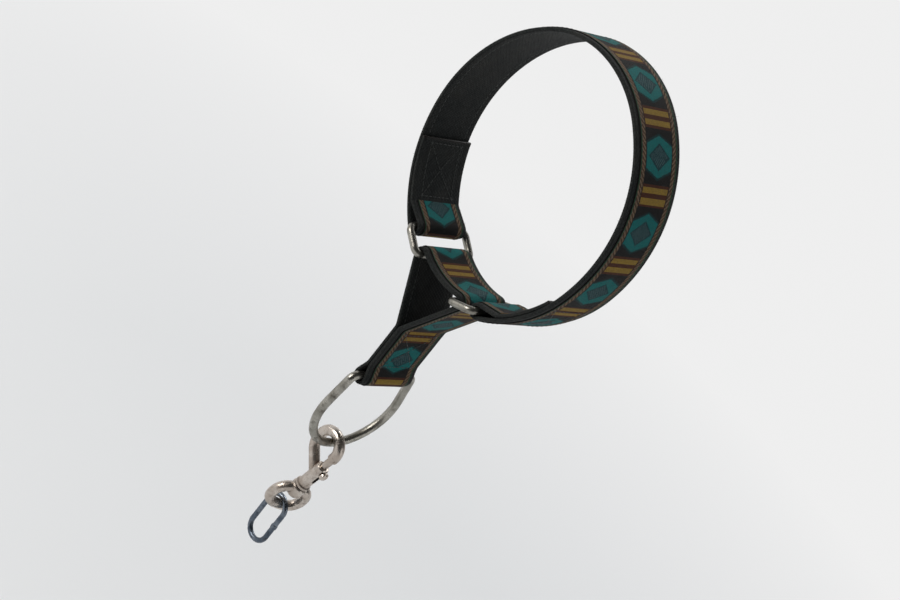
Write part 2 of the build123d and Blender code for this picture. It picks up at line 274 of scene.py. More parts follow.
soil, soil_in, soil_out = group(
    "soil",
    [("Colour", COLOUR, (0, 0, 0, 1)), ("Dust", COLOUR, (0.3, 0.26, 0.2, 1)), ("Amount", FLOAT, 0.2)],
    [("Colour", COLOUR)],
)
soil_place = add(soil, "ShaderNodeTexCoord").outputs["Object"]
soil_patch = spread(soil, noise(soil, soil_place, scale=55.0, layers=5.0, rough=0.6), 0.42, 0.72)
soil_speck = spread(soil, noise(soil, soil_place, scale=900.0, layers=2.0, rough=0.5), 0.35, 0.7, 0.3)
soil_share = maths(soil, "MULTIPLY", maths(soil, "MULTIPLY", soil_patch, soil_speck), soil_in["Amount"])
plug(soil, soil_out["Colour"], mix(soil, soil_share, soil_in["Colour"], soil_in["Dust"]))
print("soil of", len(soil.nodes), "nodes")

# %% [markdown]
# The metals are worn by rubbing on each other and by the weather. One group mixes a
# clean, a rubbed and a stained colour, and puts out a roughness and a fine height.
# The stained colour also paints shade into creases. It is built in five steps: its
# sockets, what is rubbed, what is stained or shaded, what lies on the surface, and
# what it puts out.

# %% Group: metal wear
wear, wear_in, wear_out = group(
    "metal_wear",
    [
        ("Clean", COLOUR, (0.6, 0.6, 0.6, 1)),
        ("Rubbed", COLOUR, (0.7, 0.7, 0.7, 1)),
        # Stain is the colour of stains, and also of the painted shade in creases.
        ("Stain", COLOUR, (0.2, 0.18, 0.16, 1)),
        ("Stain Amount", FLOAT, 0.4),
        ("Scale", FLOAT, 1.0),
        ("Contact", VECTOR, (0, 0, 0)),
        ("Contact Reach", FLOAT, 8 * MM),
        ("Parting", VECTOR, (1, 0, 0)),
        ("Parting Place", FLOAT, 1.0),
    ],
    [("Colour", COLOUR), ("Roughness", FLOAT), ("Height", FLOAT)],
)
wear_place = add(wear, "ShaderNodeTexCoord").outputs["Object"]
wear_scaled = add(wear, "ShaderNodeVectorMath", wear_place, operation="SCALE")
plug(wear, wear_scaled.inputs["Scale"], wear_in["Scale"])
wear_vector = wear_scaled.outputs[0]
stain_noise = noise(wear, wear_vector, scale=260.0, layers=6.0, rough=0.65)
print("metal wear has", len(wear_in) - 1, "values to set")

# %% [markdown]
# Round the contact, the point where the next piece hangs, the metal is always rubbed
# bright and smooth. Elsewhere it is rubbed in patches. The contact's edge is broken
# up with the stain noise, because an even circle would look painted on.

# %% Rubbed metal
contact_gap = add(wear, "ShaderNodeVectorMath", wear_place, wear_in["Contact"], operation="DISTANCE")
contact_share = maths(wear, "DIVIDE", contact_gap.outputs["Value"], wear_in["Contact Reach"])
contact_rough = maths(wear, "MULTIPLY_ADD", stain_noise, 0.8, contact_share)
contact_mask = spread(wear, contact_rough, 0.7, 1.4, 1.0, 0.0)
rub_noise = noise(wear, wear_vector, scale=140.0, layers=4.0, rough=0.6)
rub_patches = maths(wear, "MULTIPLY", spread(wear, rub_noise, 0.4, 0.62), 0.7)
rub_mask = maths(wear, "MAXIMUM", rub_patches, contact_mask)
print("rubbed metal:", len(wear.nodes), "nodes so far")

# %% [markdown]
# Stains come in patches, fewer where the metal is rubbed, and dirt stays in creases.
# The crease darkening is partly that dirt and partly painted shade, where less light
# reaches the creases. Creases could be painted as a mask, but ambient occlusion finds
# them on the piece alone: it is dark wherever the piece's own surface is near.

# %% Stained metal and painted crease shade
CREASE_REACH = 3 * MM
stain_mask = spread(wear, stain_noise, 0.52, 0.7)
stain_kept = maths(wear, "MULTIPLY", stain_mask, spread(wear, contact_mask, 0.0, 1.0, 1.0, 0.15))
stain_patches = maths(wear, "MULTIPLY", stain_kept, wear_in["Stain Amount"])
openness = add(
    wear, "ShaderNodeAmbientOcclusion", None, CREASE_REACH, samples=12, only_local=True
).outputs["AO"]
# Dirt and painted shade in the creases: ambient occlusion darkens the colour there to the stain colour.
crease_dirt_and_shade_rough = maths(wear, "MULTIPLY_ADD", stain_noise, -0.35, openness)
crease_dirt_and_shade_mask = spread(wear, crease_dirt_and_shade_rough, 0.35, 0.72, 0.92, 0.0)
stain_and_crease_shade_share = maths(wear, "MAXIMUM", stain_patches, crease_dirt_and_shade_mask)
print("stained metal:", len(wear.nodes), "nodes so far")

# %% [markdown]
# A casting has a grain, fine scratches, and a low ridge where its two moulds met,
# the parting line. They are too fine for geometry, so they are heights for a bump.
# Scratches are noise stretched along one way. The parting line lies on a plane,
# given by the way that it faces and its place along that way.

# %% Grain, scratches and parting line
grain_noise = noise(wear, wear_vector, scale=1500.0, layers=3.0, rough=0.6)
scratch_place = add(wear, "ShaderNodeMapping", wear_vector)
scratch_place.inputs["Rotation"].default_value = (0.5, 0.3, 0.9)
scratch_place.inputs["Scale"].default_value = (1.0, 9.0, 1.0)
scratch_noise = noise(wear, scratch_place.outputs[0], scale=420.0, layers=2.0, rough=0.5)
scratch_mask = spread(wear, scratch_noise, 0.62, 0.68)
parting_way = add(wear, "ShaderNodeVectorMath", wear_place, wear_in["Parting"], operation="DOT_PRODUCT")
parting_gap = maths(wear, "SUBTRACT", parting_way.outputs["Value"], wear_in["Parting Place"])
parting_mask = spread(wear, maths(wear, "ABSOLUTE", parting_gap), 0.08 * MM, 0.3 * MM, 1.0, 0.0)
print("surface:", len(wear.nodes), "nodes so far")

# %% [markdown]
# The masks now meet. Rubbing is laid over the clean metal, and stains with the painted
# crease shade over both, as they come in use. Roughness and height are sums of shares
# and not a choice, because one place can be rubbed, scratched and stained at once.

# %% What the wear group puts out
CLEAN_ROUGHNESS = 0.36
rubbed_colour = mix(wear, rub_mask, wear_in["Clean"], wear_in["Rubbed"])
# The stain colour is laid on by stain patches and by painted shade in creases.
plug(wear, wear_out["Colour"], mix(wear, stain_and_crease_shade_share, rubbed_colour, wear_in["Stain"]))
wear_roughness = maths(wear, "MULTIPLY_ADD", rub_mask, -0.15, CLEAN_ROUGHNESS)
wear_roughness = maths(wear, "MULTIPLY_ADD", stain_and_crease_shade_share, 0.35, wear_roughness)
wear_roughness = maths(wear, "MULTIPLY_ADD", scratch_mask, 0.1, wear_roughness)
plug(wear, wear_out["Roughness"], wear_roughness)
wear_height = maths(wear, "MULTIPLY", grain_noise, 0.5)
for surface_mask, surface_height in ((scratch_mask, -0.35), (stain_mask, -0.3), (parting_mask, 1.6)):
    wear_height = maths(wear, "MULTIPLY_ADD", surface_mask, surface_height, wear_height)
plug(wear, wear_out["Height"], wear_height)
print("metal wear of", len(wear.nodes), "nodes")

# %% [markdown]
# ## Metals
# Three metals show in the picture: the pale, warm steel of the rings, the pinkish
# worn plating of the snap and its eye, and the dark blue-grey wire of the link. One
# material for each metal would do, but every piece is rubbed at a place of its own,
# so each piece gets a material of its own from the one wear group.

# %% Metal material
NO_CONTACT = (Vector((0, 0, 1)), 1 * MM)
NO_PARTING = (Vector((1, 0, 0)), 1.0)
METAL_RELIEF = 0.12 * MM


def relief(tree, shader, height, strength, depth):
    """Shows a height as relief in a shader's light and shade."""
    bump = add(tree, "ShaderNodeBump")
    bump.inputs["Strength"].default_value = strength
    bump.inputs["Distance"].default_value = depth
    plug(tree, bump.inputs["Height"], height)
    plug(tree, shader.inputs["Normal"], bump.outputs[0])


def metal(name, colours, stain_amount, scale, strength, contact, parting):
    """A worn metal: clean, rubbed and stained colours, the stained one also painted as crease shade."""
    made, tree, shader = material(name)
    # The stained colour is used for stains and for the painted shade in creases.
    clean, rubbed, stain = colours
    worn = use(
        tree, wear, Clean=(*clean, 1), Rubbed=(*rubbed, 1), Stain=(*stain, 1),
        Stain_Amount=stain_amount, Scale=scale, Contact=contact[0], Contact_Reach=contact[1],
        Parting=parting[0], Parting_Place=parting[1],
    )
    shader.inputs["Metallic"].default_value = 1.0
    plug(tree, shader.inputs["Base Color"], worn["Colour"])
    plug(tree, shader.inputs["Roughness"], worn["Roughness"])
    relief(tree, shader, worn["Height"], strength, METAL_RELIEF)
    return made


# %% [markdown]
# Each contact is the top or the foot of a piece, where it hangs on the next one. The
# moulds of the snap parted on the plane of its hook, which the hook also swings in,
# and those of the eye on the plane of its loop. Both are read from the joints' axes.

# %% Contacts and parting planes
leash_low, leash_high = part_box("leash_ring")
hook_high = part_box("snap_body")[1]
eye_low, eye_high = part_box("swivel_eye")
link_low, link_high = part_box("tether_link")
bow_foot = Vector((0, 0, leash_low.z))
hook_top = Vector((0, 0, hook_high.z))
eye_foot = Vector((0, (eye_low.y + eye_high.y) / 2, eye_low.z))
link_top = Vector((0, (link_low.y + link_high.y) / 2, link_high.z))

turned_by = {joint["name"]: Vector(joint["axis"]) for joint in frame["joints"]}
eye_way = turned_by["eye_swivel"].cross(turned_by["link_swing"]).normalized()
snap_parting = (turned_by["snap_swing"], 0.0)
eye_parting = (eye_way, eye_way.dot(eye_foot))
print("the eye's moulds part across", [round(v, 2) for v in eye_way])

# %% [markdown]
# Each metal has three colours: clean, rubbed and stained. The stained colour also paints
# shade into the creases. Lighter and darker shades of one colour would do for plain
# steel, but plating wears through to a paler metal and stains are brown, so all three
# are given. A imported piece keeps its mesh, and only its material changes.

# %% Metals on the imported nodes
# The third colour of each metal is for stains and for the painted shade in creases.
steel_colours = ((0.25, 0.24, 0.21), (0.42, 0.405, 0.365), (0.060, 0.050, 0.038))
plating_colours = ((0.43, 0.37, 0.32), (0.62, 0.565, 0.51), (0.10, 0.066, 0.050))
wire_colours = ((0.085, 0.105, 0.135), (0.21, 0.24, 0.28), (0.05, 0.042, 0.038))
# Node, colours, stain amount, scale of the wear, relief, contact, parting line
metal_finishes = (
    ("end_ring_left", steel_colours, 0.5, 1.0, 0.25, NO_CONTACT, NO_PARTING),
    ("end_ring_right", steel_colours, 0.5, 1.0, 0.25, NO_CONTACT, NO_PARTING),
    ("leash_ring", steel_colours, 0.75, 1.0, 0.25, (bow_foot, 6 * MM), NO_PARTING),
    ("snap_body", plating_colours, 0.6, 1.2, 0.5, (hook_top, 11 * MM), snap_parting),
    ("snap_bolt", plating_colours, 0.3, 1.2, 0.3, NO_CONTACT, NO_PARTING),
    ("swivel_eye", plating_colours, 0.6, 1.2, 0.5, (eye_foot, 10 * MM), eye_parting),
    ("tether_link", wire_colours, 0.6, 1.5, 0.35, (link_top, 10 * MM), NO_PARTING),
)
for node_name, *finish in metal_finishes:
    cad_piece = frame["nodes"][node_name]
    cad_piece.data.materials.clear()
    cad_piece.data.materials.append(metal(node_name + "_metal", *finish))
print("metals on", len(metal_finishes), "packed nodes")

# %% [markdown]
# ## Webbing cloth
# The webbing is a heavy, nearly black ribbed weave. Threads of real geometry would need
# millions of faces, so the thread grid gives them as painted shade and relief: broad
# ribs, each second column set half a rib on, and fine fibres on them, with a little
# blue-green painted as light on the tops of the ribs. A cut end is melted with a hot
# knife, so it is smooth, glossy and brown-black: the strips store how near each point
# is to one, as seal.

# %% The weave's own places


def weave_place(tree):
    """The place along and across a strap, in millimetres, from its UV map."""
    weave_map = add(tree, "ShaderNodeUVMap", uv_map="weave").outputs[0]
    place = add(tree, "ShaderNodeSeparateXYZ", weave_map).outputs
    return (maths(tree, "MULTIPLY", place[axis], 1 / MM) for axis in (0, 1))


def cloth_gloss(shader, specular, sheen, sheen_roughness):
    """Sets how dull a cloth is, and how its fibres light up at its edges."""
    shader.inputs["Specular IOR Level"].default_value = specular
    shader.inputs["Sheen Weight"].default_value = sheen
    shader.inputs["Sheen Roughness"].default_value = sheen_roughness


# %% Webbing threads
RIB_PITCH, RIB_WIDTH = 2.2, 1.2
FIBRE_PITCH, FIBRE_WIDTH = 0.9, 0.15

webbing_cloth, web_tree, web_shader = material("webbing_cloth")
web_along, web_across = weave_place(web_tree)
web_column = maths(web_tree, "FLOOR", maths(web_tree, "DIVIDE", web_across, RIB_WIDTH))
web_stagger = maths(web_tree, "MULTIPLY", maths(web_tree, "MODULO", web_column, 2.0), RIB_PITCH / 2)
web_ribs = use(
    web_tree, thread_grid, Along=maths(web_tree, "ADD", web_along, web_stagger),
    Across=web_across, Pick=RIB_PITCH, End=RIB_WIDTH,
)
web_fibre = use(
    web_tree, thread_grid, Along=web_along, Across=web_across, Pick=FIBRE_PITCH, End=FIBRE_WIDTH
)
web_seal = add(web_tree, "ShaderNodeAttribute", attribute_name="seal").outputs["Fac"]
print("ribs of", RIB_PITCH, "x", RIB_WIDTH, "mm, fibres of", FIBRE_WIDTH, "mm")

# %% [markdown]
# The webbing's colour runs from near black in the hollows to a grey-green on the ribs,
# by each rib's height: painted shade in the hollows and painted light on the ribs, with
# a random tone for each rib. Dust lies over it, and the melted ends over both. The
# relief fades at the ends too, because there the threads have run together.

# %% Webbing material
WEB_DARK, WEB_LIT = (0.002, 0.0025, 0.0025, 1), (0.018, 0.022, 0.021, 1)
WEB_DUST, WEB_SEALED = (0.10, 0.088, 0.07, 1), (0.010, 0.008, 0.007, 1)

# Painted shade and light: each rib's random tone times its height mixes from WEB_DARK in the hollows to
# WEB_LIT on top.
web_shade = maths(web_tree, "MULTIPLY_ADD", web_ribs["Shade"], 0.35, 0.3)
web_light = maths(web_tree, "MULTIPLY", web_shade, maths(web_tree, "ADD", web_ribs["Height"], 0.4))
web_colour = mix(web_tree, web_light, WEB_DARK, WEB_LIT)
web_soiled = use(web_tree, soil, Colour=web_colour, Dust=WEB_DUST, Amount=0.18)
web_ended = mix(web_tree, web_seal, web_soiled["Colour"], WEB_SEALED)
plug(web_tree, web_shader.inputs["Base Color"], web_ended)
plug(web_tree, web_shader.inputs["Roughness"], spread(web_tree, web_seal, 0.0, 1.0, 0.74, 0.34))
cloth_gloss(web_shader, 0.2, 0.02, 0.5)
web_height = maths(web_tree, "MULTIPLY_ADD", web_fibre["Height"], 0.15, web_ribs["Height"])
web_height = maths(web_tree, "MULTIPLY", web_height, spread(web_tree, web_seal, 0.0, 1.0, 1.0, 0.2))
relief(web_tree, web_shader, web_height, 0.9, 0.3 * MM)
print("webbing cloth of", len(web_tree.nodes), "nodes")

# %% [markdown]
# ## Ribbon cloth
# The ribbon is woven with a traditional stepped figure: a teal lozenge with a mottled
# heart on a dark ground, then two ochre bars across on brown, and a twisted brown
# border with a green line along each edge. A drawn picture could be laid on, but
# would need a file. Instead the figure is built of masks, each a few limits on the
# distance from its middle, so its sizes can be read and changed in millimetres.

# %% Group: woven figure
figure, figure_in, figure_out = group(
    "woven_figure",
    [("Along", FLOAT, 0.0), ("Across", FLOAT, 0.0), ("Shade", FLOAT, 0.0), ("Repeat", FLOAT, 38.5)],
    [("Colour", COLOUR), ("Float", FLOAT)],
)


def under(value, limit):
    """1 where a value is under a limit."""
    return maths(figure, "LESS_THAN", value, limit)


def over(value, limit):
    """1 where a value is over a limit."""
    return maths(figure, "GREATER_THAN", value, limit)


def both(first, second):
    """1 where both masks are 1."""
    return maths(figure, "MULTIPLY", first, second)


half_repeat = maths(figure, "MULTIPLY", figure_in["Repeat"], 0.5)
less_half = maths(figure, "MULTIPLY", figure_in["Repeat"], -0.5)
wrapped = maths(figure, "WRAP", figure_in["Along"], half_repeat, less_half)
from_heart = maths(figure, "ABSOLUTE", wrapped)
from_bars = maths(figure, "SUBTRACT", half_repeat, from_heart)
from_middle = maths(figure, "ABSOLUTE", figure_in["Across"])
print("figure distances:", len(figure.nodes), "nodes so far")

# %% [markdown]
# A slope is the distance along plus a share of the distance across, so a limit on it
# is a slanted edge. The heart's seeds come from two crossed waves, and the border's
# twist from a wave that runs along and across at once.

# %% The figure's masks
FIELD, FIGURE = 11.0, 10.5
BORDER, EDGE_LINE = (11.3, 14.1), (14.4, 15.3)
LOZENGE, LOZENGE_OUTLINE, LOZENGE_SLOPE = 10.4, 11.6, 0.42
HEART, SEED_FIELD, HEART_SLOPE = 6.8, 5.8, 0.75
SEED_LENGTH, SEED_WIDTH, SEEDS_LEFT_OUT = 0.96, 0.84, 0.2
BAR_GAP, BAR_END, BAR_GROUND = 1.2, 4.2, 5.6
TWIST_PITCH, TWIST_STRAND = 2.6, 1.3


def between(value, limits):
    """1 where a value lies between two limits."""
    return both(under(value, limits[1]), over(value, limits[0]))


in_field = under(from_middle, FIELD)
in_figure = under(from_middle, FIGURE)
in_border = between(from_middle, BORDER)
in_line = between(from_middle, EDGE_LINE)
slope = maths(figure, "MULTIPLY_ADD", from_middle, LOZENGE_SLOPE, from_heart)
lozenge = both(under(slope, LOZENGE), in_figure)
heart_slope = maths(figure, "MULTIPLY_ADD", from_middle, HEART_SLOPE, from_heart)
seed_waves = both(*(
    maths(figure, "SINE", maths(figure, "MULTIPLY", figure_in[way], math.pi / size))
    for way, size in (("Along", SEED_LENGTH), ("Across", SEED_WIDTH))
))
seeds = both(under(heart_slope, SEED_FIELD), over(seed_waves, 0.0))
seeds = both(seeds, over(figure_in["Shade"], SEEDS_LEFT_OUT))
bars = both(under(from_bars, BAR_END), in_figure)
twist = maths(figure, "WRAP", maths(figure, "ADD", wrapped, from_middle), TWIST_PITCH, 0.0)
strand = both(in_border, under(twist, TWIST_STRAND))
print("figure masks:", len(figure.nodes), "nodes so far")

# %% [markdown]
# A real ribbon gets its colours from coloured threads that come up where the figure
# wants them. Here the colours are laid one over the other, the ground first, and
# each mask says where its colour covers what lies below. The order matters where
# masks overlap, as the bars do with their brown ground.

# %% The figure's colours, painted one over the other
GROUND, BROWN, OCHRE = (0.0065, 0.006, 0.006), (0.058, 0.017, 0.006), (0.215, 0.134, 0.022)
TEAL, DEEP_TEAL, HEART_TEAL = (0.003, 0.112, 0.108), (0.003, 0.028, 0.030), (0.004, 0.036, 0.042)
SEED_GREY, EDGE_GREEN = (0.042, 0.082, 0.086), (0.016, 0.058, 0.022)
BORDER_BROWN, STRAND_TAN = (0.056, 0.031, 0.015), (0.150, 0.100, 0.064)

figure_paint = (*GROUND, 1)
for mask, colour in (
    (both(under(slope, LOZENGE_OUTLINE), in_field), DEEP_TEAL),
    (lozenge, TEAL),
    (under(heart_slope, HEART), HEART_TEAL),
    (seeds, SEED_GREY),
    (both(under(from_bars, BAR_GROUND), in_field), BROWN),
    (bars, OCHRE),
    (both(under(from_bars, BAR_GAP), in_figure), BROWN),
    (in_border, BORDER_BROWN),
    (strand, STRAND_TAN),
    (in_line, EDGE_GREEN),
):
    figure_paint = mix(figure, mask, figure_paint, (*colour, 1))
figure_float = maths(figure, "MULTIPLY", bars, 0.6)
for mask, floating in ((lozenge, 0.35), (in_border, 0.4)):
    figure_float = maths(figure, "MULTIPLY_ADD", mask, floating, figure_float)
plug(figure, figure_out["Colour"], figure_paint)
plug(figure, figure_out["Float"], figure_float)
print("woven figure of", len(figure.nodes), "nodes")

# %% [markdown]
# The ribbon's material asks the thread grid for the middle of each point's thread,
# and the figure for the colour there. So a whole thread has one colour, and every
# outline gets a weave's small steps. Threads of the figure float over the ground.
# Each thread's colour is then varied by a random tone, and darkened in its hollows
# and lightened on its top by its height, as painted shade and light.

# %% Ribbon material
REPEAT = 38.5 * MM
RIBBON_PICK, RIBBON_END = 0.48, 0.42

ribbon_cloth, rib_tree, rib_shader = material("ribbon_cloth")
rib_along, rib_across = weave_place(rib_tree)
rib_threads = use(
    rib_tree, thread_grid, Along=rib_along, Across=rib_across, Pick=RIBBON_PICK, End=RIBBON_END
)
rib_figure = use(
    rib_tree, figure, Along=rib_threads["Along"], Across=rib_threads["Across"],
    Shade=rib_threads["Shade"], Repeat=REPEAT / MM,
)
rib_tone = maths(rib_tree, "MULTIPLY_ADD", rib_threads["Shade"], 0.5, 0.85)
# Painted shade and light: the thread's height darkens its hollows and lightens its top.
rib_light = spread(rib_tree, rib_threads["Height"], 0.0, 0.8, 0.5, 1.2)
rib_tone_and_painted_shade = maths(rib_tree, "MULTIPLY", rib_tone, rib_light)
rib_tone_and_painted_shade_grey = add(rib_tree, "ShaderNodeCombineColor", rib_tone_and_painted_shade, rib_tone_and_painted_shade, rib_tone_and_painted_shade).outputs[0]
rib_colour = mix(rib_tree, 1.0, rib_figure["Colour"], rib_tone_and_painted_shade_grey, kind="MULTIPLY")
rib_soiled = use(rib_tree, soil, Colour=rib_colour, Dust=(0.12, 0.10, 0.08, 1), Amount=0.08)
plug(rib_tree, rib_shader.inputs["Base Color"], rib_soiled["Colour"])
rib_rough = maths(rib_tree, "MULTIPLY_ADD", rib_threads["Shade"], 0.12, 0.6)
plug(rib_tree, rib_shader.inputs["Roughness"], rib_rough)
cloth_gloss(rib_shader, 0.09, 0.02, 0.4)
rib_height = maths(rib_tree, "ADD", rib_threads["Height"], rib_figure["Float"])
relief(rib_tree, rib_shader, rib_height, 0.8, 0.18 * MM)
print("ribbon cloth of", len(rib_tree.nodes), "nodes")

# %% [markdown]
# Sewing thread is a smooth charcoal polyester, twisted from plies. The plies could
# be modelled, but on a thread this thin nothing shows of them but a slight
# unevenness, so a fine noise in its colour is enough.

# %% Thread material
sewing_thread, thread_tree, thread_shader = material("sewing_thread")
thread_place = add(thread_tree, "ShaderNodeTexCoord").outputs["Object"]
thread_noise = noise(thread_tree, thread_place, scale=1800.0, layers=2.0, rough=0.5)
thread_colour = mix(thread_tree, thread_noise, (0.010, 0.012, 0.011, 1), (0.045, 0.050, 0.045, 1))
plug(thread_tree, thread_shader.inputs["Base Color"], thread_colour)
thread_shader.inputs["Roughness"].default_value = 0.5
thread_shader.inputs["Sheen Weight"].default_value = 0.05
print("sewing thread of", len(thread_tree.nodes), "nodes")

# %% [markdown]
# ## The lines that the webbing follows
# Each strap is one strip, bent along a line in the collar's own plane. The line could
# be drawn as a curve by hand, but it has to touch the rings where the model has them.
# So it is made of arcs and straight runs from the same sizes as the drawing, then
# divided evenly, and smoothed a little, as stiff cloth rounds its own corners.

# %% Arcs, even steps and soft corners
ARC_STEP = 0.2 * MM
LINE_STEP = 0.5 * MM


def arc(centre, radius, first, last):
    """Points of an arc in the (y, z) plane, from one angle to another in degrees."""
    count = max(3, int(abs(math.radians(last - first)) * radius / ARC_STEP))
    angles = np.radians(np.linspace(first, last, count))
    return np.column_stack((centre[0] + radius * np.cos(angles), centre[1] + radius * np.sin(angles)))


def even(points, step):
    """The same line with evenly spaced points."""
    gaps = np.linalg.norm(np.diff(points, axis=0), axis=1)
    points = points[np.concatenate(([True], gaps > 1e-7))]
    run = np.concatenate(([0], np.cumsum(np.linalg.norm(np.diff(points, axis=0), axis=1))))
    places = np.linspace(0, run[-1], int(round(run[-1] / step)) + 1)
    return np.column_stack([np.interp(places, run, points[:, k]) for k in range(2)])


def soften(points, reach, closed):
    """Smooths a line over a short reach, with its ends kept or its closed run carried on."""
    half = int(3 * reach / LINE_STEP)
    weights = np.exp(-0.5 * (np.arange(-half, half + 1) * LINE_STEP / reach) ** 2)
    weights /= weights.sum()
    if closed:
        padded = np.vstack((points[-half - 1:-1], points, points[1:half + 1]))
    else:
        first = 2 * points[0] - points[half:0:-1]
        last = 2 * points[-1] - points[-2:-half - 2:-1]
        padded = np.vstack((first, points, last))
    return np.column_stack([np.convolve(padded[:, k], weights, mode="valid") for k in range(2)])


print("a half turn of 5 mm radius has", len(arc((0, 0), 5 * MM, 0, 180)), "points")

# %% [markdown]
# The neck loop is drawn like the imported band: a narrow arc at the throat and one at
# the top, joined by flatter arcs at the sides. Its radii follow from the band's box.

# %% The neck loop's arcs
throat_radius = 58 * MM
half_height = band_high.z - webbing_thick
half_width = band_high.y - webbing_thick
throat_z = -(half_height - throat_radius)
end_z = half_height - throat_radius
side_radius = (half_width**2 + end_z**2 - throat_radius**2) / (2 * (half_width - throat_radius))
side_shift = side_radius - half_width
side_angle = math.degrees(math.atan2(end_z, side_shift))
print("side arcs of", round(side_radius / MM, 1), "mm, to", round(side_angle, 1), "degrees")

# %% [markdown]
# A line also says which side faces out, and how cloth strays from its drawing. Real
# webbing is never quite flat, so the strip sways in slow waves, half a millimetre
# deep. Below the calm height it doesn't, because there it has to fit the rings.

# %% A line that carries cloth
SOFT_REACH = 0.8 * MM
SWAY_Y, SWAY_Z, SWAY_TWIST = (19 * MM, 0.7), (23 * MM, 1.9), (31 * MM, 0.4)
SWAY_DEPTH, TWIST_DEPTH = 0.5, 0.35
CALM_FADE = 30 * MM
calm_below = throat_z - 25 * MM


def slow_wave(values, form):
    """A wave, given by its length over two pi and by where it starts."""
    return np.sin(values / form[0] + form[1])


class Line:
    """An evenly divided line in the collar's plane, with the side that faces out."""

    def __init__(self, points, closed=False):
        self.points = soften(even(points, LINE_STEP), SOFT_REACH, closed)
        slopes = np.gradient(self.points, axis=0)
        if closed:
            slopes[0] = slopes[-1] = self.points[1] - self.points[-2]
        slopes /= np.linalg.norm(slopes, axis=1)[:, None]
        self.normals = np.column_stack((-slopes[:, 1], slopes[:, 0]))
        steps = np.linalg.norm(np.diff(self.points, axis=0), axis=1)
        self.run = np.concatenate(([0], np.cumsum(steps)))
        self.length = self.run[-1]
        self.closed = closed

    def at(self, place, values):
        """Values along the line, read at a place in metres."""
        return np.column_stack([np.interp(place, self.run, values[:, k]) for k in range(2)])

    def surface(self, place, across, height):
        """Points in space: along the line, across the strap, and out from its middle."""
        place, across, height = np.broadcast_arrays(np.atleast_1d(place).astype(float), across, height)
        base = self.at(place, self.points)
        out = self.at(place, self.normals)
        lift = height + self.sway(base, across)
        return np.column_stack((across, base[:, 0] + out[:, 0] * lift, base[:, 1] + out[:, 1] * lift))

    def nearest(self, point):
        """The place along the line that is nearest to a point of its plane."""
        return self.run[np.argmin(np.linalg.norm(self.points - np.array(point), axis=1))]

    def sway(self, base, across):
        """How far the cloth strays from its drawing, with none near the rings."""
        slow = slow_wave(base[:, 0], SWAY_Y) * slow_wave(base[:, 1], SWAY_Z)
        twisting = slow_wave(base[:, 1], SWAY_TWIST) * across / (webbing_width / 2)
        free = np.clip((base[:, 1] - calm_below) / CALM_FADE, 0, 1)
        return (SWAY_DEPTH * slow + TWIST_DEPTH * twisting) * MM * free


print("the cloth is calm below", round(calm_below / MM), "mm")

# %% [markdown]
# The neck line starts at the sewn end of the fold on the right, turns round the
# right end ring's bar, runs over the top and ends the same way on the left. Angles
# round the throat's centre, from straight down, say where the bars and folds lie.

# %% Angles of the end rings and the folds
end_wire_radius = 2.1 * MM
wrap_play = 0.3 * MM
end_ring_opening = 12 * MM
fold_lead = 14 * MM
sewn_length = 34 * MM
lower_angle = 18.0

end_wrap = end_wire_radius + wrap_play
bar_circle = throat_radius - end_wrap
bar_spacing = end_ring_opening + 2 * end_wire_radius
upper_angle = lower_angle + 2 * math.degrees(math.asin(bar_spacing / 2 / bar_circle))
fold_angle = upper_angle + math.degrees(fold_lead / throat_radius)
fold_end_angle = fold_angle + math.degrees(sewn_length / throat_radius)
print("bars at", lower_angle, "and", round(upper_angle, 1), "degrees, fold to", round(fold_end_angle, 1))

# %% [markdown]
# The throat and the sides are arcs round different centres. These helpers turn an
# angle round the throat's centre into a place on either arc, so the bars, the folds
# and the seams are all placed by the same angles.

# %% Places round the loop


def throat_point(radius, angle):
    """A point round the throat arc's centre, at an angle from straight down."""
    return (radius * math.sin(math.radians(angle)), throat_z - radius * math.cos(math.radians(angle)))


def side_point(radius, angle):
    """Where a ray from the throat's centre, at an angle from straight down, meets the side arc."""
    ray = (math.sin(math.radians(angle)), -math.cos(math.radians(angle)))
    along = side_shift * ray[0] + throat_z * ray[1]
    reach = -along + math.sqrt(along**2 + radius**2 - side_shift**2 - throat_z**2)
    return (reach * ray[0], throat_z + reach * ray[1])


def side_turn(radius, angle):
    """The same place as an angle round the side arc's own centre."""
    y, z = side_point(radius, angle)
    return math.degrees(math.atan2(z, y + side_shift))


print("the fold starts at", [round(v / MM, 1) for v in side_point(side_radius, fold_angle)], "mm")

# %% [markdown]
# The band is the same on both sides. Drawing it twice would let the sides differ, so
# only its left half is drawn, from the top down: along the side, round the ring's
# bar, and back up inside as the folded lining. The lining leaves the bar where a
# straight run touches the turn, as on a pulled strap.

# %% The neck band's line


def neck_half():
    """Half of the neck line, from its top to the sewn end on the left."""
    bar = throat_point(bar_circle, upper_angle)
    turn_radius = end_wrap + half_thick
    lining_radius = side_radius - half_thick
    lining = side_point(lining_radius, fold_angle)
    reach = math.hypot(lining[0] - bar[0], lining[1] - bar[1])
    toward = math.degrees(math.atan2(lining[1] - bar[1], lining[0] - bar[0]))
    leave = toward + math.degrees(math.acos(turn_radius / reach))
    start = -90 + upper_angle
    leave = start - ((start - leave) % 360)
    return np.vstack((
        arc((0, end_z), throat_radius + half_thick, 90, side_angle),
        arc((-side_shift, 0), side_radius + half_thick, side_angle, -side_angle),
        arc((0, throat_z), throat_radius + half_thick, -side_angle, -90 + upper_angle),
        arc(bar, turn_radius, start, leave),
        arc(
            (-side_shift, 0), lining_radius,
            side_turn(lining_radius, fold_angle), side_turn(lining_radius, fold_end_angle),
        ),
    ))


left_half = neck_half()
right_half = left_half[::-1] * np.array([-1, 1])
neck_line = Line(np.vstack((right_half[:-1], left_half)))
print("neck strip", round(neck_line.length / MM), "mm long")

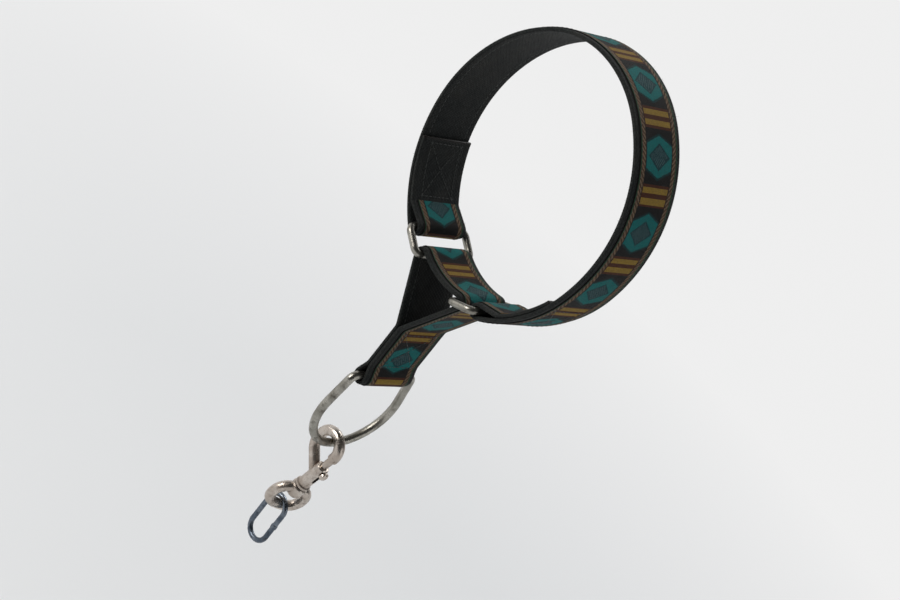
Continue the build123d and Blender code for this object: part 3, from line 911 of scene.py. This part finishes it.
# %% [markdown]
# The control strap is one closed strip. From the middle of the throat it goes over
# the left end ring's bar, down the left leg to the tab and round the leash ring's
# bar, and the same way up again on the right. In the tab its layers lie against each
# other, and where the legs start they part in a small round crease.

# %% Places of the control strap
leash_wire_radius = 2.5 * MM
leg_drop = 36 * MM
tab_lead = 9 * MM
crease_radius = 0.3 * MM
closing_length = 3 * MM

leash_bar_z = leash_high.z - leash_wire_radius
leash_wrap = leash_wire_radius + wrap_play
end_bar = throat_point(bar_circle, lower_angle)
apex = (0, end_bar[1] - leg_drop)
tab_foot = (0, leash_bar_z + tab_lead)
print("the tab is", round((apex[1] - tab_foot[1]) / MM, 1), "mm long above its fold")

# %% [markdown]
# The strap's legs run straight between round turns. Where a straight run leaves a
# turn could be guessed, but a wrong guess shows as a kink, so it is worked out from
# the two circles that the run touches. Half of the strap is drawn and mirrored.

# %% The control strap's line


def touching(first, first_radius, second, second_radius):
    """The angle, square to a run, in which it touches two circles on their right side."""
    across, rising = first[0] - second[0], first[1] - second[1]
    lean = math.asin((second_radius - first_radius) / math.hypot(across, rising))
    return math.degrees(math.atan2(rising, across) + lean) - 90


def control_half():
    """Half of the control line, from the middle of the throat to the leash bar's foot."""
    bar_turn = end_wrap + half_thick
    leash_bar = (0, leash_bar_z)
    crease_turn = crease_radius + half_thick
    leg_side = touching(end_bar, bar_turn, apex, crease_turn)
    leg_way = math.radians(leg_side)
    leg_foot = (crease_turn * math.cos(leg_way), apex[1] + crease_turn * math.sin(leg_way))
    fold_turn = leash_wrap + half_thick
    fold_side = touching(tab_foot, half_thick, leash_bar, fold_turn)
    return np.vstack((
        arc((0, throat_z), bar_circle - bar_turn, -90, -90 + lower_angle),
        arc(end_bar, bar_turn, 90 + lower_angle, leg_side),
        [leg_foot, (half_thick, apex[1] - closing_length), (half_thick, tab_foot[1])],
        arc(leash_bar, fold_turn, fold_side, -90),
    ))


left_control = control_half()
right_control = left_control[::-1] * np.array([-1, 1])
control_line = Line(np.vstack((left_control[:-1], right_control)), closed=True)
print("control strip", round(control_line.length / MM), "mm long")

# %% [markdown]
# ## Strips
# A strip is a thin closed section swept along its line. A curve with a bevel would
# sweep it too, but the cloth needs more than that: selvedges that are round and
# slightly beaded where the weft turns, seam rows that pinch it, and a cut end that
# swells where the knife melted it. So the mesh is built row by row. The section has
# more points at its seam rows, where it bends most.

# %% Sections of the webbing and the ribbon
SEAM_ROW = 14.3 * MM
SEAM_CLEAR = 1.2 * MM
SEAM_STEPS = (-1.0, -0.6, -0.25, 0.0, 0.25, 0.6)
EDGE_TURNS = (36, 72, 108, 144)
FLAT_SPACING = 1.5 * MM
SINK = 0.2 * MM


def section(width, low, high, plain_back=False):
    """A flat section with round edges: its points (across, height), face first."""
    radius = (high - low) / 2
    flat = width / 2 - radius
    seam_steps = np.array(SEAM_STEPS) * MM
    even_steps = np.linspace(-flat, flat, int(round(2 * flat / FLAT_SPACING)) + 1)
    clear = np.abs(np.abs(even_steps) - SEAM_ROW) > SEAM_CLEAR
    seam_rows = (SEAM_ROW + seam_steps, -SEAM_ROW - seam_steps)
    rows = np.concatenate((even_steps[clear], *seam_rows, (flat, -flat)))
    across = np.unique(np.round(rows, 6))[::-1]
    below = np.array((-flat, flat)) if plain_back else across[::-1]
    turns = np.radians(EDGE_TURNS)
    left_edge = [(-flat - radius * math.sin(a), low + radius + radius * math.cos(a)) for a in turns]
    right_edge = [(-x, height) for x, height in left_edge[::-1]]
    face = [(x, high) for x in across]
    return np.array(face + left_edge + [(x, low) for x in below] + right_edge)


webbing_section = section(webbing_width, -half_thick, half_thick)
ribbon_section = section(ribbon_width, half_thick - SINK, half_thick + ribbon_thick, plain_back=True)
print("points round the webbing", len(webbing_section), "and the ribbon", len(ribbon_section))

# %% [markdown]
# Three habits of webbing depend only on the place on it: the weft beads its
# selvedges, stitches pull it in along the seams, and a melted end swells to a low
# rim. Sculpting could make them, but not evenly along half a metre of strap, so
# each is a small formula.

# %% Beads, pinches and melted ends
SELVEDGE_WIDTH = 1.2 * MM
SELVEDGE_BEAD = 0.07 * MM
BEAD_PITCH = 1.5 * MM
SEAM_PITCH = 3.1 * MM
SEAM_PINCH = 0.14 * MM
PINCH_WIDTH = 0.5 * MM


def selvedge_share(shape):
    """1 at the very edges of a section, and 0 on its flat part."""
    from_centre = np.abs(shape[:, 0])
    return np.clip((from_centre - from_centre.max() + SELVEDGE_WIDTH) / SELVEDGE_WIDTH, 0, 1)


def pinch(place, across):
    """How deep the seam thread pulls the cloth in, deepest under each stitch."""
    beat = 0.7 + 0.3 * np.cos(place / SEAM_PITCH * 2 * math.pi)
    return SEAM_PINCH * beat * np.exp(-(((np.abs(across) - SEAM_ROW) / PINCH_WIDTH) ** 2))


def melt(gap):
    """How the thickness changes with the distance from a cut end."""
    return np.interp(gap / MM, (0.0, 0.5, 1.0, 2.0), (0.72, 1.12, 1.05, 1.0))


def strip_points(line, shape, places, swell):
    """The points of a section at every place along a line."""
    rows, count = len(places), len(shape)
    middle_height = shape[:, 1].mean()
    edge = np.tile(selvedge_share(shape), rows)
    place_grid = np.repeat(places, count)
    across_grid = np.tile(shape[:, 0], rows)
    height_grid = np.tile(shape[:, 1], rows)
    bead = np.sin(place_grid / BEAD_PITCH * 2 * math.pi) * SELVEDGE_BEAD * edge
    across_grid = across_grid + bead * np.sign(across_grid)
    side = np.sign(height_grid - middle_height)
    height_grid = height_grid - pinch(place_grid, across_grid) * side * (1 - edge)
    height_grid = middle_height + (height_grid - middle_height) * np.repeat(swell, count)
    return line.surface(place_grid, across_grid, height_grid)


print("a stitch pulls the cloth in by", round(float(pinch(0, SEAM_ROW)) / MM, 2), "mm")

# %% [markdown]
# The UV map, named weave, is laid while the faces are made: along the line, and round
# the section from the middle of its face, both in metres. Unwrapping the finished
# mesh would only guess at this. Two stored numbers go with each point: seal, how near
# it is to a cut end, and fray, how worn the selvedge is there.

# %% Faces of a strip


def strip_faces(shape, along, joined):
    """Faces between neighbouring sections, and the place of each corner in the weave."""
    rows, count = len(along), len(shape)
    gaps = np.linalg.norm(np.roll(shape, -1, axis=0) - shape, axis=1)
    face_middle = int(np.argmin(np.abs(shape[:, 0]) + (shape[:, 1] < shape[:, 1].mean())))
    round_way = np.concatenate(([0], np.cumsum(gaps)))
    round_way = round_way[face_middle] - round_way + shape[face_middle, 0]
    faces = []
    weave = []
    for i in range(rows - 1):
        below, above = i * count, ((i + 1) % (rows - 1) if joined else i + 1) * count
        for j in range(count):
            k = (j + 1) % count
            faces.append((below + j, above + j, above + k, below + k))
            (u, next_u), (v, next_v) = along[i:i + 2], round_way[j:j + 2]
            weave.extend(((u, v), (next_u, v), (next_u, next_v), (u, next_v)))
    if not joined:
        faces.append(tuple(range(count)))
        faces.append(tuple(range(rows * count - 1, (rows - 1) * count - 1, -1)))
        for row, order in ((0, 1), (rows - 1, -1)):
            weave.extend([(along[row], round_way[j]) for j in range(count)][::order])
    return faces, weave


def store(mesh, label, values):
    """Stores a number for each point of a mesh."""
    stored = mesh.attributes.new(label, "FLOAT", "POINT")
    stored.data.foreach_set("value", values.astype(np.float32))


# %% [markdown]
# The strip maker puts the parts together: points, faces, the UV map and the stored
# numbers. A closed line has no ends, so its last section is left out and the faces
# join the first one. A modifier could weld them, but would have to guess which.

# %% Strip maker
SEAL_REACH = 1.6
FRAY_LEAST, FRAY_BEAT = 0.25, 0.021


def strip(name, line, shape, cloth, first=0.0, last=None, cut=False, stretch=1.0, shift=0.0):
    """Sweeps a section along a line, and gives the mesh its cloth and its UV map."""
    last = line.length if last is None else last
    rows = int(round((last - first) / LINE_STEP)) + 1
    places = np.linspace(first, last, rows)
    joined = line.closed and first == 0 and last == line.length
    end_gap = np.minimum(places - first, last - places)
    points = strip_points(line, shape, places, melt(end_gap) if cut else np.ones(rows))
    faces, weave = strip_faces(shape, places * stretch + shift, joined)
    if joined:
        points = points[:-len(shape)]
        end_gap = end_gap[:-1]

    mesh = bpy.data.meshes.new(name)
    mesh.from_pydata([tuple(p) for p in points], [], faces)
    layer = mesh.uv_layers.new(name="weave")
    layer.data.foreach_set("uv", np.array(weave, dtype=np.float32).ravel())
    seal = np.clip(SEAL_REACH - end_gap / MM, 0, 1) if cut else np.zeros(len(end_gap))
    store(mesh, "seal", np.repeat(seal, len(shape)))
    worn = FRAY_LEAST + (1 - FRAY_LEAST) * np.sin(np.arange(len(end_gap)) * FRAY_BEAT) ** 2
    store(mesh, "fray", np.tile(selvedge_share(shape), len(end_gap)) * np.repeat(worn, len(shape)))
    mesh.shade_smooth()
    mesh.materials.append(cloth)
    mesh.update()
    piece = bpy.data.objects.new(name, mesh)
    bpy.context.collection.objects.link(piece)
    print(name, len(mesh.polygons), "faces,", round((last - first) / MM), "mm long")
    return piece


# %% [markdown]
# The ribbon lies on the outer face of the neck band and goes round both bars to
# where the folds are sewn. It could be painted on the webbing, but its edge stands
# up and catches light, so it is a strip of its own, sunk a little into the webbing.

# %% The neck band and its ribbon
sewn_run = neck_line.length - neck_line.nearest(side_point(side_radius - half_thick, fold_angle))
neck_webbing = strip("neck_webbing", neck_line, webbing_section, webbing_cloth, cut=True)
neck_pattern = strip(
    "neck_pattern", neck_line, ribbon_section, ribbon_cloth,
    first=sewn_run, last=neck_line.length - sewn_run,
)

# %% [markdown]
# On the control strap the ribbon goes all round. Its figure is stretched a little, so
# that a whole number of repeats meets without a step, and shifted, so that one ochre
# bar lies at the bend round the leash ring.

# %% The control strap and its ribbon
BAR_ABOVE_FOOT = 4.2 * MM
whole_repeats = round(control_line.length / REPEAT)
figure_stretch = whole_repeats * REPEAT / control_line.length
bar_place = (control_line.length / 2 - BAR_ABOVE_FOOT) * figure_stretch
figure_shift = (whole_repeats // 2 + 0.5) * REPEAT - bar_place
control_webbing = strip("control_webbing", control_line, webbing_section, webbing_cloth)
control_pattern = strip(
    "control_pattern", control_line, ribbon_section, ribbon_cloth,
    stretch=figure_stretch, shift=figure_shift,
)
print("repeats on the control strap", whole_repeats, "stretched by", round(figure_stretch, 3))

# %% [markdown]
# ## Stitches
# Two rows of lockstitch hold the ribbon, and a box with a cross holds each fold and
# the tab. Hundreds of equal stitches along a path are work for Geometry Nodes: the
# path is a mesh of edges that stores which way is up, and the tree turns it into
# curves, places one bent thread at every pitch and turns it along the path.

# %% Geometry tree helpers


def growth(name, inputs):
    """A geometry tree with a mesh in, a mesh out and named sizes."""
    tree = bpy.data.node_groups.new(name, "GeometryNodeTree")
    tree.interface.new_socket("Geometry", in_out="INPUT", socket_type="NodeSocketGeometry")
    for label, kind, value in inputs:
        socket = tree.interface.new_socket(label, in_out="INPUT", socket_type=kind)
        if value is not None:
            socket.default_value = value
    tree.interface.new_socket("Geometry", in_out="OUTPUT", socket_type="NodeSocketGeometry")
    entry = tree.nodes.new("NodeGroupInput")
    leave = tree.nodes.new("NodeGroupOutput")
    return tree, entry.outputs, leave.inputs


def grow(name, tree, mesh, **values):
    """Runs a tree on a mesh with its own sizes, and keeps the result as a plain mesh."""
    piece = bpy.data.objects.new(name, mesh)
    bpy.context.collection.objects.link(piece)
    modifier = piece.modifiers.new(name, "NODES")
    modifier.node_group = tree
    for socket in tree.interface.items_tree:
        label = socket.name.replace(" ", "_")
        if socket.in_out == "INPUT" and label in values:
            modifier[socket.identifier] = values[label]
    seen = piece.evaluated_get(bpy.context.evaluated_depsgraph_get())
    grown = bpy.data.meshes.new_from_object(seen)
    piece.modifiers.clear()
    piece.data = grown
    print(name, len(grown.polygons), "faces")
    return piece


def bent_thread(tree, start, middle, end, radius, steps, sides):
    """A short bent curve with a round section, made a mesh."""
    bend = add(tree, "GeometryNodeCurveQuadraticBezier", steps, start, middle, end).outputs[0]
    profile = add(tree, "GeometryNodeCurvePrimitiveCircle", sides, None, None, None, radius).outputs[0]
    return add(tree, "GeometryNodeCurveToMesh", bend, profile).outputs[0]


def random_between(tree, low, high):
    """A random number for each point, as a node whose seed is still open."""
    made = add(tree, "FunctionNodeRandomValue", data_type="FLOAT")
    made.inputs[2].default_value = low
    made.inputs[3].default_value = high
    return made


# %% Tree: where each stitch lies
STITCH_YAW = 0.09

stitch_rows, row_in, row_out = growth(
    "stitch_rows",
    [
        ("Pitch", FLOAT, SEAM_PITCH), ("Reach", FLOAT, 2.5 * MM), ("Thread Radius", FLOAT, 0.2 * MM),
        ("Seed", "NodeSocketInt", 1), ("Thread", "NodeSocketMaterial", None),
    ],
)
row_curve = add(stitch_rows, "GeometryNodeMeshToCurve", row_in["Geometry"]).outputs[0]
row_points = add(
    stitch_rows, "GeometryNodeResampleCurve", row_curve, None, None, row_in["Pitch"], mode="LENGTH"
).outputs[0]
row_up = add(stitch_rows, "GeometryNodeInputNamedAttribute", "up", data_type="FLOAT_VECTOR").outputs[0]
row_way = add(stitch_rows, "GeometryNodeInputTangent").outputs[0]
row_turn = add(
    stitch_rows, "FunctionNodeAxesToRotation", row_way, row_up, primary_axis="X", secondary_axis="Z"
).outputs[0]
row_slip = random_between(stitch_rows, -STITCH_YAW, STITCH_YAW)
plug(stitch_rows, row_slip.inputs["Seed"], row_in["Seed"])
row_yaw = add(stitch_rows, "ShaderNodeCombineXYZ", None, None, row_slip.outputs[1]).outputs[0]
row_yaw = add(stitch_rows, "FunctionNodeEulerToRotation", row_yaw).outputs[0]
row_turn = add(
    stitch_rows, "FunctionNodeRotateRotation", row_turn, row_yaw, rotation_space="LOCAL"
).outputs[0]
print("stitch rows:", len(stitch_rows.nodes), "nodes so far")

# %% [markdown]
# A stitch is a thread that rises from one needle hole and dips into the next. A
# straight bar would be simpler, but the bend is what catches the light. Six sides
# are enough for a thread that is repeated hundreds of times.

# %% Tree: the stitch itself
half_reach = maths(stitch_rows, "MULTIPLY", row_in["Reach"], 0.5)
less_reach = maths(stitch_rows, "MULTIPLY", row_in["Reach"], -0.5)
thread_dip = maths(stitch_rows, "MULTIPLY", row_in["Thread Radius"], -0.9)
thread_rise = maths(stitch_rows, "MULTIPLY", row_in["Thread Radius"], 2.2)
stitch = bent_thread(
    stitch_rows,
    add(stitch_rows, "ShaderNodeCombineXYZ", less_reach, None, thread_dip).outputs[0],
    add(stitch_rows, "ShaderNodeCombineXYZ", None, None, thread_rise).outputs[0],
    add(stitch_rows, "ShaderNodeCombineXYZ", half_reach, None, thread_dip).outputs[0],
    row_in["Thread Radius"], steps=5, sides=6,
)
row_set = add(
    stitch_rows, "GeometryNodeInstanceOnPoints", row_points, None, stitch, None, None, row_turn
).outputs[0]
row_real = add(stitch_rows, "GeometryNodeRealizeInstances", row_set).outputs[0]
row_smooth = add(stitch_rows, "GeometryNodeSetShadeSmooth", row_real).outputs[0]
row_done = add(stitch_rows, "GeometryNodeSetMaterial", row_smooth, None, row_in["Thread"]).outputs[0]
plug(stitch_rows, row_out["Geometry"], row_done)
print("stitch rows of", len(stitch_rows.nodes), "nodes")

# %% [markdown]
# Each seam path is read from the strap's own surface, so it keeps to the cloth
# through every bend. A path is a run of places along the line with a place across
# and a side of the strap; a cross is two runs that go across as they go along.

# %% Seam paths
FACE = half_thick + ribbon_thick
BACK = -half_thick
BOX_HALF = 11.8 * MM


def seam(line, first, last, start_across, end_across, height):
    """Points of one seam on a strap's surface, and the way out of the cloth at each."""
    length = math.hypot(last - first, end_across - start_across)
    count = max(2, int(length / LINE_STEP))
    places = np.linspace(first, last, count)
    across = np.linspace(start_across, end_across, count)
    side = 1 if height > 0 else -1
    sunk = height - side * pinch(0, np.array([start_across]))[0] * (start_across == end_across)
    out = line.at(places % line.length, line.normals) * side
    ups = np.column_stack((np.zeros(count), out))
    return line.surface(places % line.length, across, np.full(count, sunk)), ups


def edge_rows(line, first, last, height):
    """The two rows beside the ribbon's edges."""
    return [seam(line, first, last, side * SEAM_ROW, side * SEAM_ROW, height) for side in (-1, 1)]


def boxed_cross(line, first, last, height):
    """A sewn box with a cross in it."""
    half = BOX_HALF
    return [
        seam(line, first, last, half, half, height), seam(line, first, last, -half, -half, height),
        seam(line, first, first, -half, half, height), seam(line, last, last, -half, half, height),
        seam(line, first, last, -half, half, height), seam(line, first, last, half, -half, height),
    ]


def path_mesh(name, seams):
    """Seams as one mesh of edges, with the way up stored on its points."""
    points, ups, edges = [], [], []
    for run, out in seams:
        edges.extend((len(points) + i, len(points) + i + 1) for i in range(len(run) - 1))
        points.extend(tuple(p) for p in run)
        ups.extend(out)
    mesh = bpy.data.meshes.new(name)
    mesh.from_pydata(points, edges, [])
    stored = mesh.attributes.new("up", "FLOAT_VECTOR", "POINT")
    stored.data.foreach_set("vector", np.array(ups, dtype=np.float32).ravel())
    return mesh


# %% [markdown]
# Two rows hold the ribbon's edges on the band's face, and show again on its back
# wherever no lining covers it. Each sewn fold has a box with a cross, which shows on
# the face and on the lining, so four boxes are sewn.

# %% Seams of the neck band
BOX_INSET = 3.0 * MM
ROW_INSET = 2 * MM
neck_whole = neck_line.length
lining_back = neck_line.nearest(side_point(side_radius + half_thick, fold_end_angle))
fold_start = neck_line.nearest(side_point(side_radius + half_thick, fold_angle))
neck_seams = edge_rows(neck_line, sewn_run + ROW_INSET, neck_whole - sewn_run - ROW_INSET, FACE)
neck_seams += edge_rows(neck_line, neck_whole - lining_back + ROW_INSET, lining_back - ROW_INSET, BACK)
for first, last, height in (
    (lining_back, fold_start, FACE), (neck_whole - fold_start, neck_whole - lining_back, FACE),
    (0, sewn_run, half_thick), (neck_whole - sewn_run, neck_whole, half_thick),
):
    neck_seams += boxed_cross(neck_line, first + BOX_INSET, last - BOX_INSET, height)
neck_stitches = grow(
    "neck_stitches", stitch_rows, path_mesh("neck_seams", neck_seams), Seed=3, Thread=sewing_thread
)

# %% [markdown]
# On the control strap the rows run all round, on both sides of the cloth. One box
# with a cross goes through both layers of the tab, so it shows in front and behind.

# %% Seams of the control strap
TOP_INSET, FOOT_INSET = 4 * MM, 1 * MM
tab_top = control_line.nearest((half_thick, apex[1] - TOP_INSET))
tab_end = control_line.nearest((half_thick, tab_foot[1] + FOOT_INSET))
whole = control_line.length
control_seams = edge_rows(control_line, 0, whole, FACE) + edge_rows(control_line, 0, whole, BACK)
control_seams += boxed_cross(control_line, tab_top, tab_end, FACE)
control_seams += boxed_cross(control_line, whole - tab_end, whole - tab_top, FACE)
control_stitches = grow(
    "control_stitches", stitch_rows, path_mesh("control_seams", control_seams),
    Seed=8, Thread=sewing_thread,
)

# %% [markdown]
# ## Fuzz
# Webbing in daily use grows a thin fuzz of broken filaments on its selvedges. Hair
# particles could make it, but they don't become a mesh by themselves. Geometry Nodes
# scatter it on the strap itself, as dense as the stored fray says, each filament a
# short bent hair that leans at random.

# %% Tree: fuzz
HAIR_LEAN = 1.1
HAIR_SPIN = 3.1
HAIR_ROOT = -0.05 * MM
HAIR_SIZES = (0.4, 1.2)

fuzz, fuzz_in, fuzz_out = growth(
    "fuzz",
    [
        ("Density", FLOAT, 500000.0), ("Reach", FLOAT, 1.1 * MM), ("Hair Radius", FLOAT, 0.02 * MM),
        ("Seed", "NodeSocketInt", 1), ("Hair", "NodeSocketMaterial", None),
    ],
)
fray_share = add(fuzz, "GeometryNodeInputNamedAttribute", "fray", data_type="FLOAT").outputs[0]
fuzz_scatter = add(fuzz, "GeometryNodeDistributePointsOnFaces", fuzz_in["Geometry"])
plug(fuzz, fuzz_scatter.inputs["Density"], maths(fuzz, "MULTIPLY", fray_share, fuzz_in["Density"]))
plug(fuzz, fuzz_scatter.inputs["Seed"], fuzz_in["Seed"])
fuzz_lean = add(
    fuzz, "FunctionNodeRandomValue", (-HAIR_LEAN, -HAIR_LEAN, -HAIR_SPIN),
    (HAIR_LEAN, HAIR_LEAN, HAIR_SPIN), data_type="FLOAT_VECTOR",
)
plug(fuzz, fuzz_lean.inputs["Seed"], fuzz_in["Seed"])
fuzz_tilt = add(fuzz, "FunctionNodeEulerToRotation", fuzz_lean.outputs[0]).outputs[0]
fuzz_turn = add(
    fuzz, "FunctionNodeRotateRotation", fuzz_scatter.outputs["Rotation"], fuzz_tilt,
    rotation_space="LOCAL",
).outputs[0]
fuzz_size = random_between(fuzz, *HAIR_SIZES)
hair_tip = maths(fuzz, "MULTIPLY", fuzz_in["Reach"], 0.7)
hair_bow = maths(fuzz, "MULTIPLY", fuzz_in["Reach"], 0.5)
hair = bent_thread(
    fuzz, (0, 0, HAIR_ROOT),
    add(fuzz, "ShaderNodeCombineXYZ", None, None, hair_tip).outputs[0],
    add(fuzz, "ShaderNodeCombineXYZ", hair_bow, None, fuzz_in["Reach"]).outputs[0],
    fuzz_in["Hair Radius"], steps=3, sides=3,
)
fuzz_set = add(
    fuzz, "GeometryNodeInstanceOnPoints", fuzz_scatter.outputs["Points"], None, hair, None, None,
    fuzz_turn, fuzz_size.outputs[1],
).outputs[0]
fuzz_real = add(fuzz, "GeometryNodeRealizeInstances", fuzz_set).outputs[0]
fuzz_done = add(fuzz, "GeometryNodeSetMaterial", fuzz_real, None, fuzz_in["Hair"]).outputs[0]
plug(fuzz, fuzz_out["Geometry"], fuzz_done)
print("fuzz of", len(fuzz.nodes), "nodes")

# %% [markdown]
# Both straps get the same fuzz, each with a seed of its own, so that their hairs
# differ. It grows on the strip's own mesh, and the strip itself stays as it is.

# %% Fuzz on both straps
neck_fuzz = grow("neck_fuzz", fuzz, neck_webbing.data, Seed=11, Hair=sewing_thread)
control_fuzz = grow("control_fuzz", fuzz, control_webbing.data, Seed=12, Hair=sewing_thread)

# %% [markdown]
# ## Who carries what
# Every piece of cloth, with its stitches and fuzz, rides on the collar. One joined
# mesh would be simpler, but each strip has to stand for its own plain solid of the
# imported model, which is hidden.

# %% Pieces on the collar
strips = (
    (neck_webbing, "neck_band", "webbing"),
    (neck_pattern, "neck_ribbon", "ribbon"),
    (control_webbing, "control_strap", "webbing"),
    (control_pattern, "control_ribbon", "ribbon"),
)
sewn_and_worn = (neck_stitches, control_stitches, neck_fuzz, control_fuzz)
for piece, node, slot_name in strips:
    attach(piece, "collar")
    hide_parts(node)
for piece in sewn_and_worn:
    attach(piece, "collar")
print(len(strips), "strips and", len(sewn_and_worn), "pieces on them ride on the collar")

# %% [markdown]
# ## Floor and light
# The floor is plain and pale. Near the collar it takes its shadow, and further out it
# fades, for the camera and in mirrors, into the same pale glow as the world, so no
# edge or horizon shows. A brighter lamp would whiten it too, and spoil the colours.

# %% Floor
PALE = 0.86
FLOOR_DROP = 0.06
FLOOR_GREY = 0.8
FADE_START, FADE_END = 0.25, 0.75

floor_paint, floor_tree, floor_shader = material("floor_paint")
floor_shader.inputs["Base Color"].default_value = (FLOOR_GREY, FLOOR_GREY, FLOOR_GREY, 1)
floor_shader.inputs["Roughness"].default_value = 0.9
floor_place = add(floor_tree, "ShaderNodeTexCoord").outputs["Object"]
floor_far = add(floor_tree, "ShaderNodeVectorMath", floor_place, operation="LENGTH").outputs["Value"]
floor_ray = add(floor_tree, "ShaderNodeLightPath").outputs
floor_seen = maths(floor_tree, "MAXIMUM", floor_ray["Is Camera Ray"], floor_ray["Is Glossy Ray"])
floor_seen = maths(floor_tree, "MAXIMUM", floor_seen, floor_ray["Is Transmission Ray"])
floor_fade = spread(floor_tree, floor_far, FADE_START, FADE_END)
floor_share = maths(floor_tree, "MULTIPLY", floor_fade, floor_seen)
floor_glow = add(floor_tree, "ShaderNodeEmission", (PALE, PALE, PALE, 1), 1.0)
floor_mix = add(
    floor_tree, "ShaderNodeMixShader", floor_share, floor_shader.outputs[0], floor_glow.outputs[0]
)
floor_tree.links.new(floor_mix.outputs[0], floor_tree.nodes["Material Output"].inputs["Surface"])

bpy.ops.mesh.primitive_circle_add(vertices=96, radius=6, fill_type="NGON")
floor = bpy.context.object
floor.name = "floor"
floor.location = (0, 0, cad_box[0].z - FLOOR_DROP)
floor.data.materials.append(floor_paint)
print("floor", round(FLOOR_DROP / MM), "mm below the link")

# %% [markdown]
# The world does three things. It lights softly from all sides, it shows the camera
# the pale background, and it gives the metals something to mirror: pale on one side
# and dark on the other, as a studio's black card does, so that round wire looks round.

# %% World
MIRROR_DARK = 0.04
MIRROR_PALE_TO, MIRROR_DARK_FROM = -0.4, 0.3

world = bpy.data.worlds.new("studio")
bpy.context.scene.world = world
world.use_nodes = True
world_tree = world.node_tree
soft_light = world_tree.nodes["Background"]
soft_light.inputs["Color"].default_value = (0.92, 0.96, 1.0, 1)
soft_light.inputs["Strength"].default_value = 0.5
sky_way = add(world_tree, "ShaderNodeTexCoord").outputs["Generated"]
dark_way = right * 0.6 + back * 0.8
sky_side = add(world_tree, "ShaderNodeVectorMath", sky_way, dark_way, operation="DOT_PRODUCT")
sky_level = spread(
    world_tree, sky_side.outputs["Value"], MIRROR_PALE_TO, MIRROR_DARK_FROM, PALE, MIRROR_DARK
)
sky_grey = add(world_tree, "ShaderNodeCombineColor", sky_level, sky_level, sky_level).outputs[0]
mirrored = add(world_tree, "ShaderNodeBackground", sky_grey, 1.0).outputs[0]
seen = add(world_tree, "ShaderNodeBackground", (PALE, PALE, PALE, 1), 1.0).outputs[0]
ray = add(world_tree, "ShaderNodeLightPath").outputs
straight = maths(world_tree, "MAXIMUM", ray["Is Camera Ray"], ray["Is Transmission Ray"])
world_mix = add(
    world_tree, "ShaderNodeMixShader", ray["Is Glossy Ray"], soft_light.outputs[0], mirrored
).outputs[0]
world_mix = add(world_tree, "ShaderNodeMixShader", straight, world_mix, seen).outputs[0]
world_tree.links.new(world_mix, world_tree.nodes["World Output"].inputs["Surface"])
print("world of", len(world_tree.nodes), "nodes")

# %% [markdown]
# Three soft lamps shape the collar: a warm key from above on the left, a weak fill
# from the lower right, and a rim light from behind. They are placed by the camera's
# own directions when the script runs, and stay where they are in other views.

# %% Lamps


def lamp(name, place, size, power, tint=(1, 1, 1)):
    """A soft square lamp, placed by the camera's right, up and back directions."""
    light = bpy.data.lights.new(name, "AREA")
    light.shape = "RECTANGLE"
    light.size = light.size_y = size
    light.energy = power
    light.color = tint
    made = bpy.data.objects.new(name, light)
    bpy.context.collection.objects.link(made)
    made.location = aim + right * place[0] + up * place[1] + back * place[2]
    made.rotation_euler = (aim - made.location).to_track_quat("-Z", "Y").to_euler()
    print(name, "lamp", power, "W")


lamp("key", (-0.7, 1.0, 0.9), 0.8, 14, (1.0, 0.97, 0.93))
lamp("fill", (1.2, -0.9, 0.6), 0.9, 3)
lamp("rim", (0.9, 0.9, -0.5), 0.6, 5)
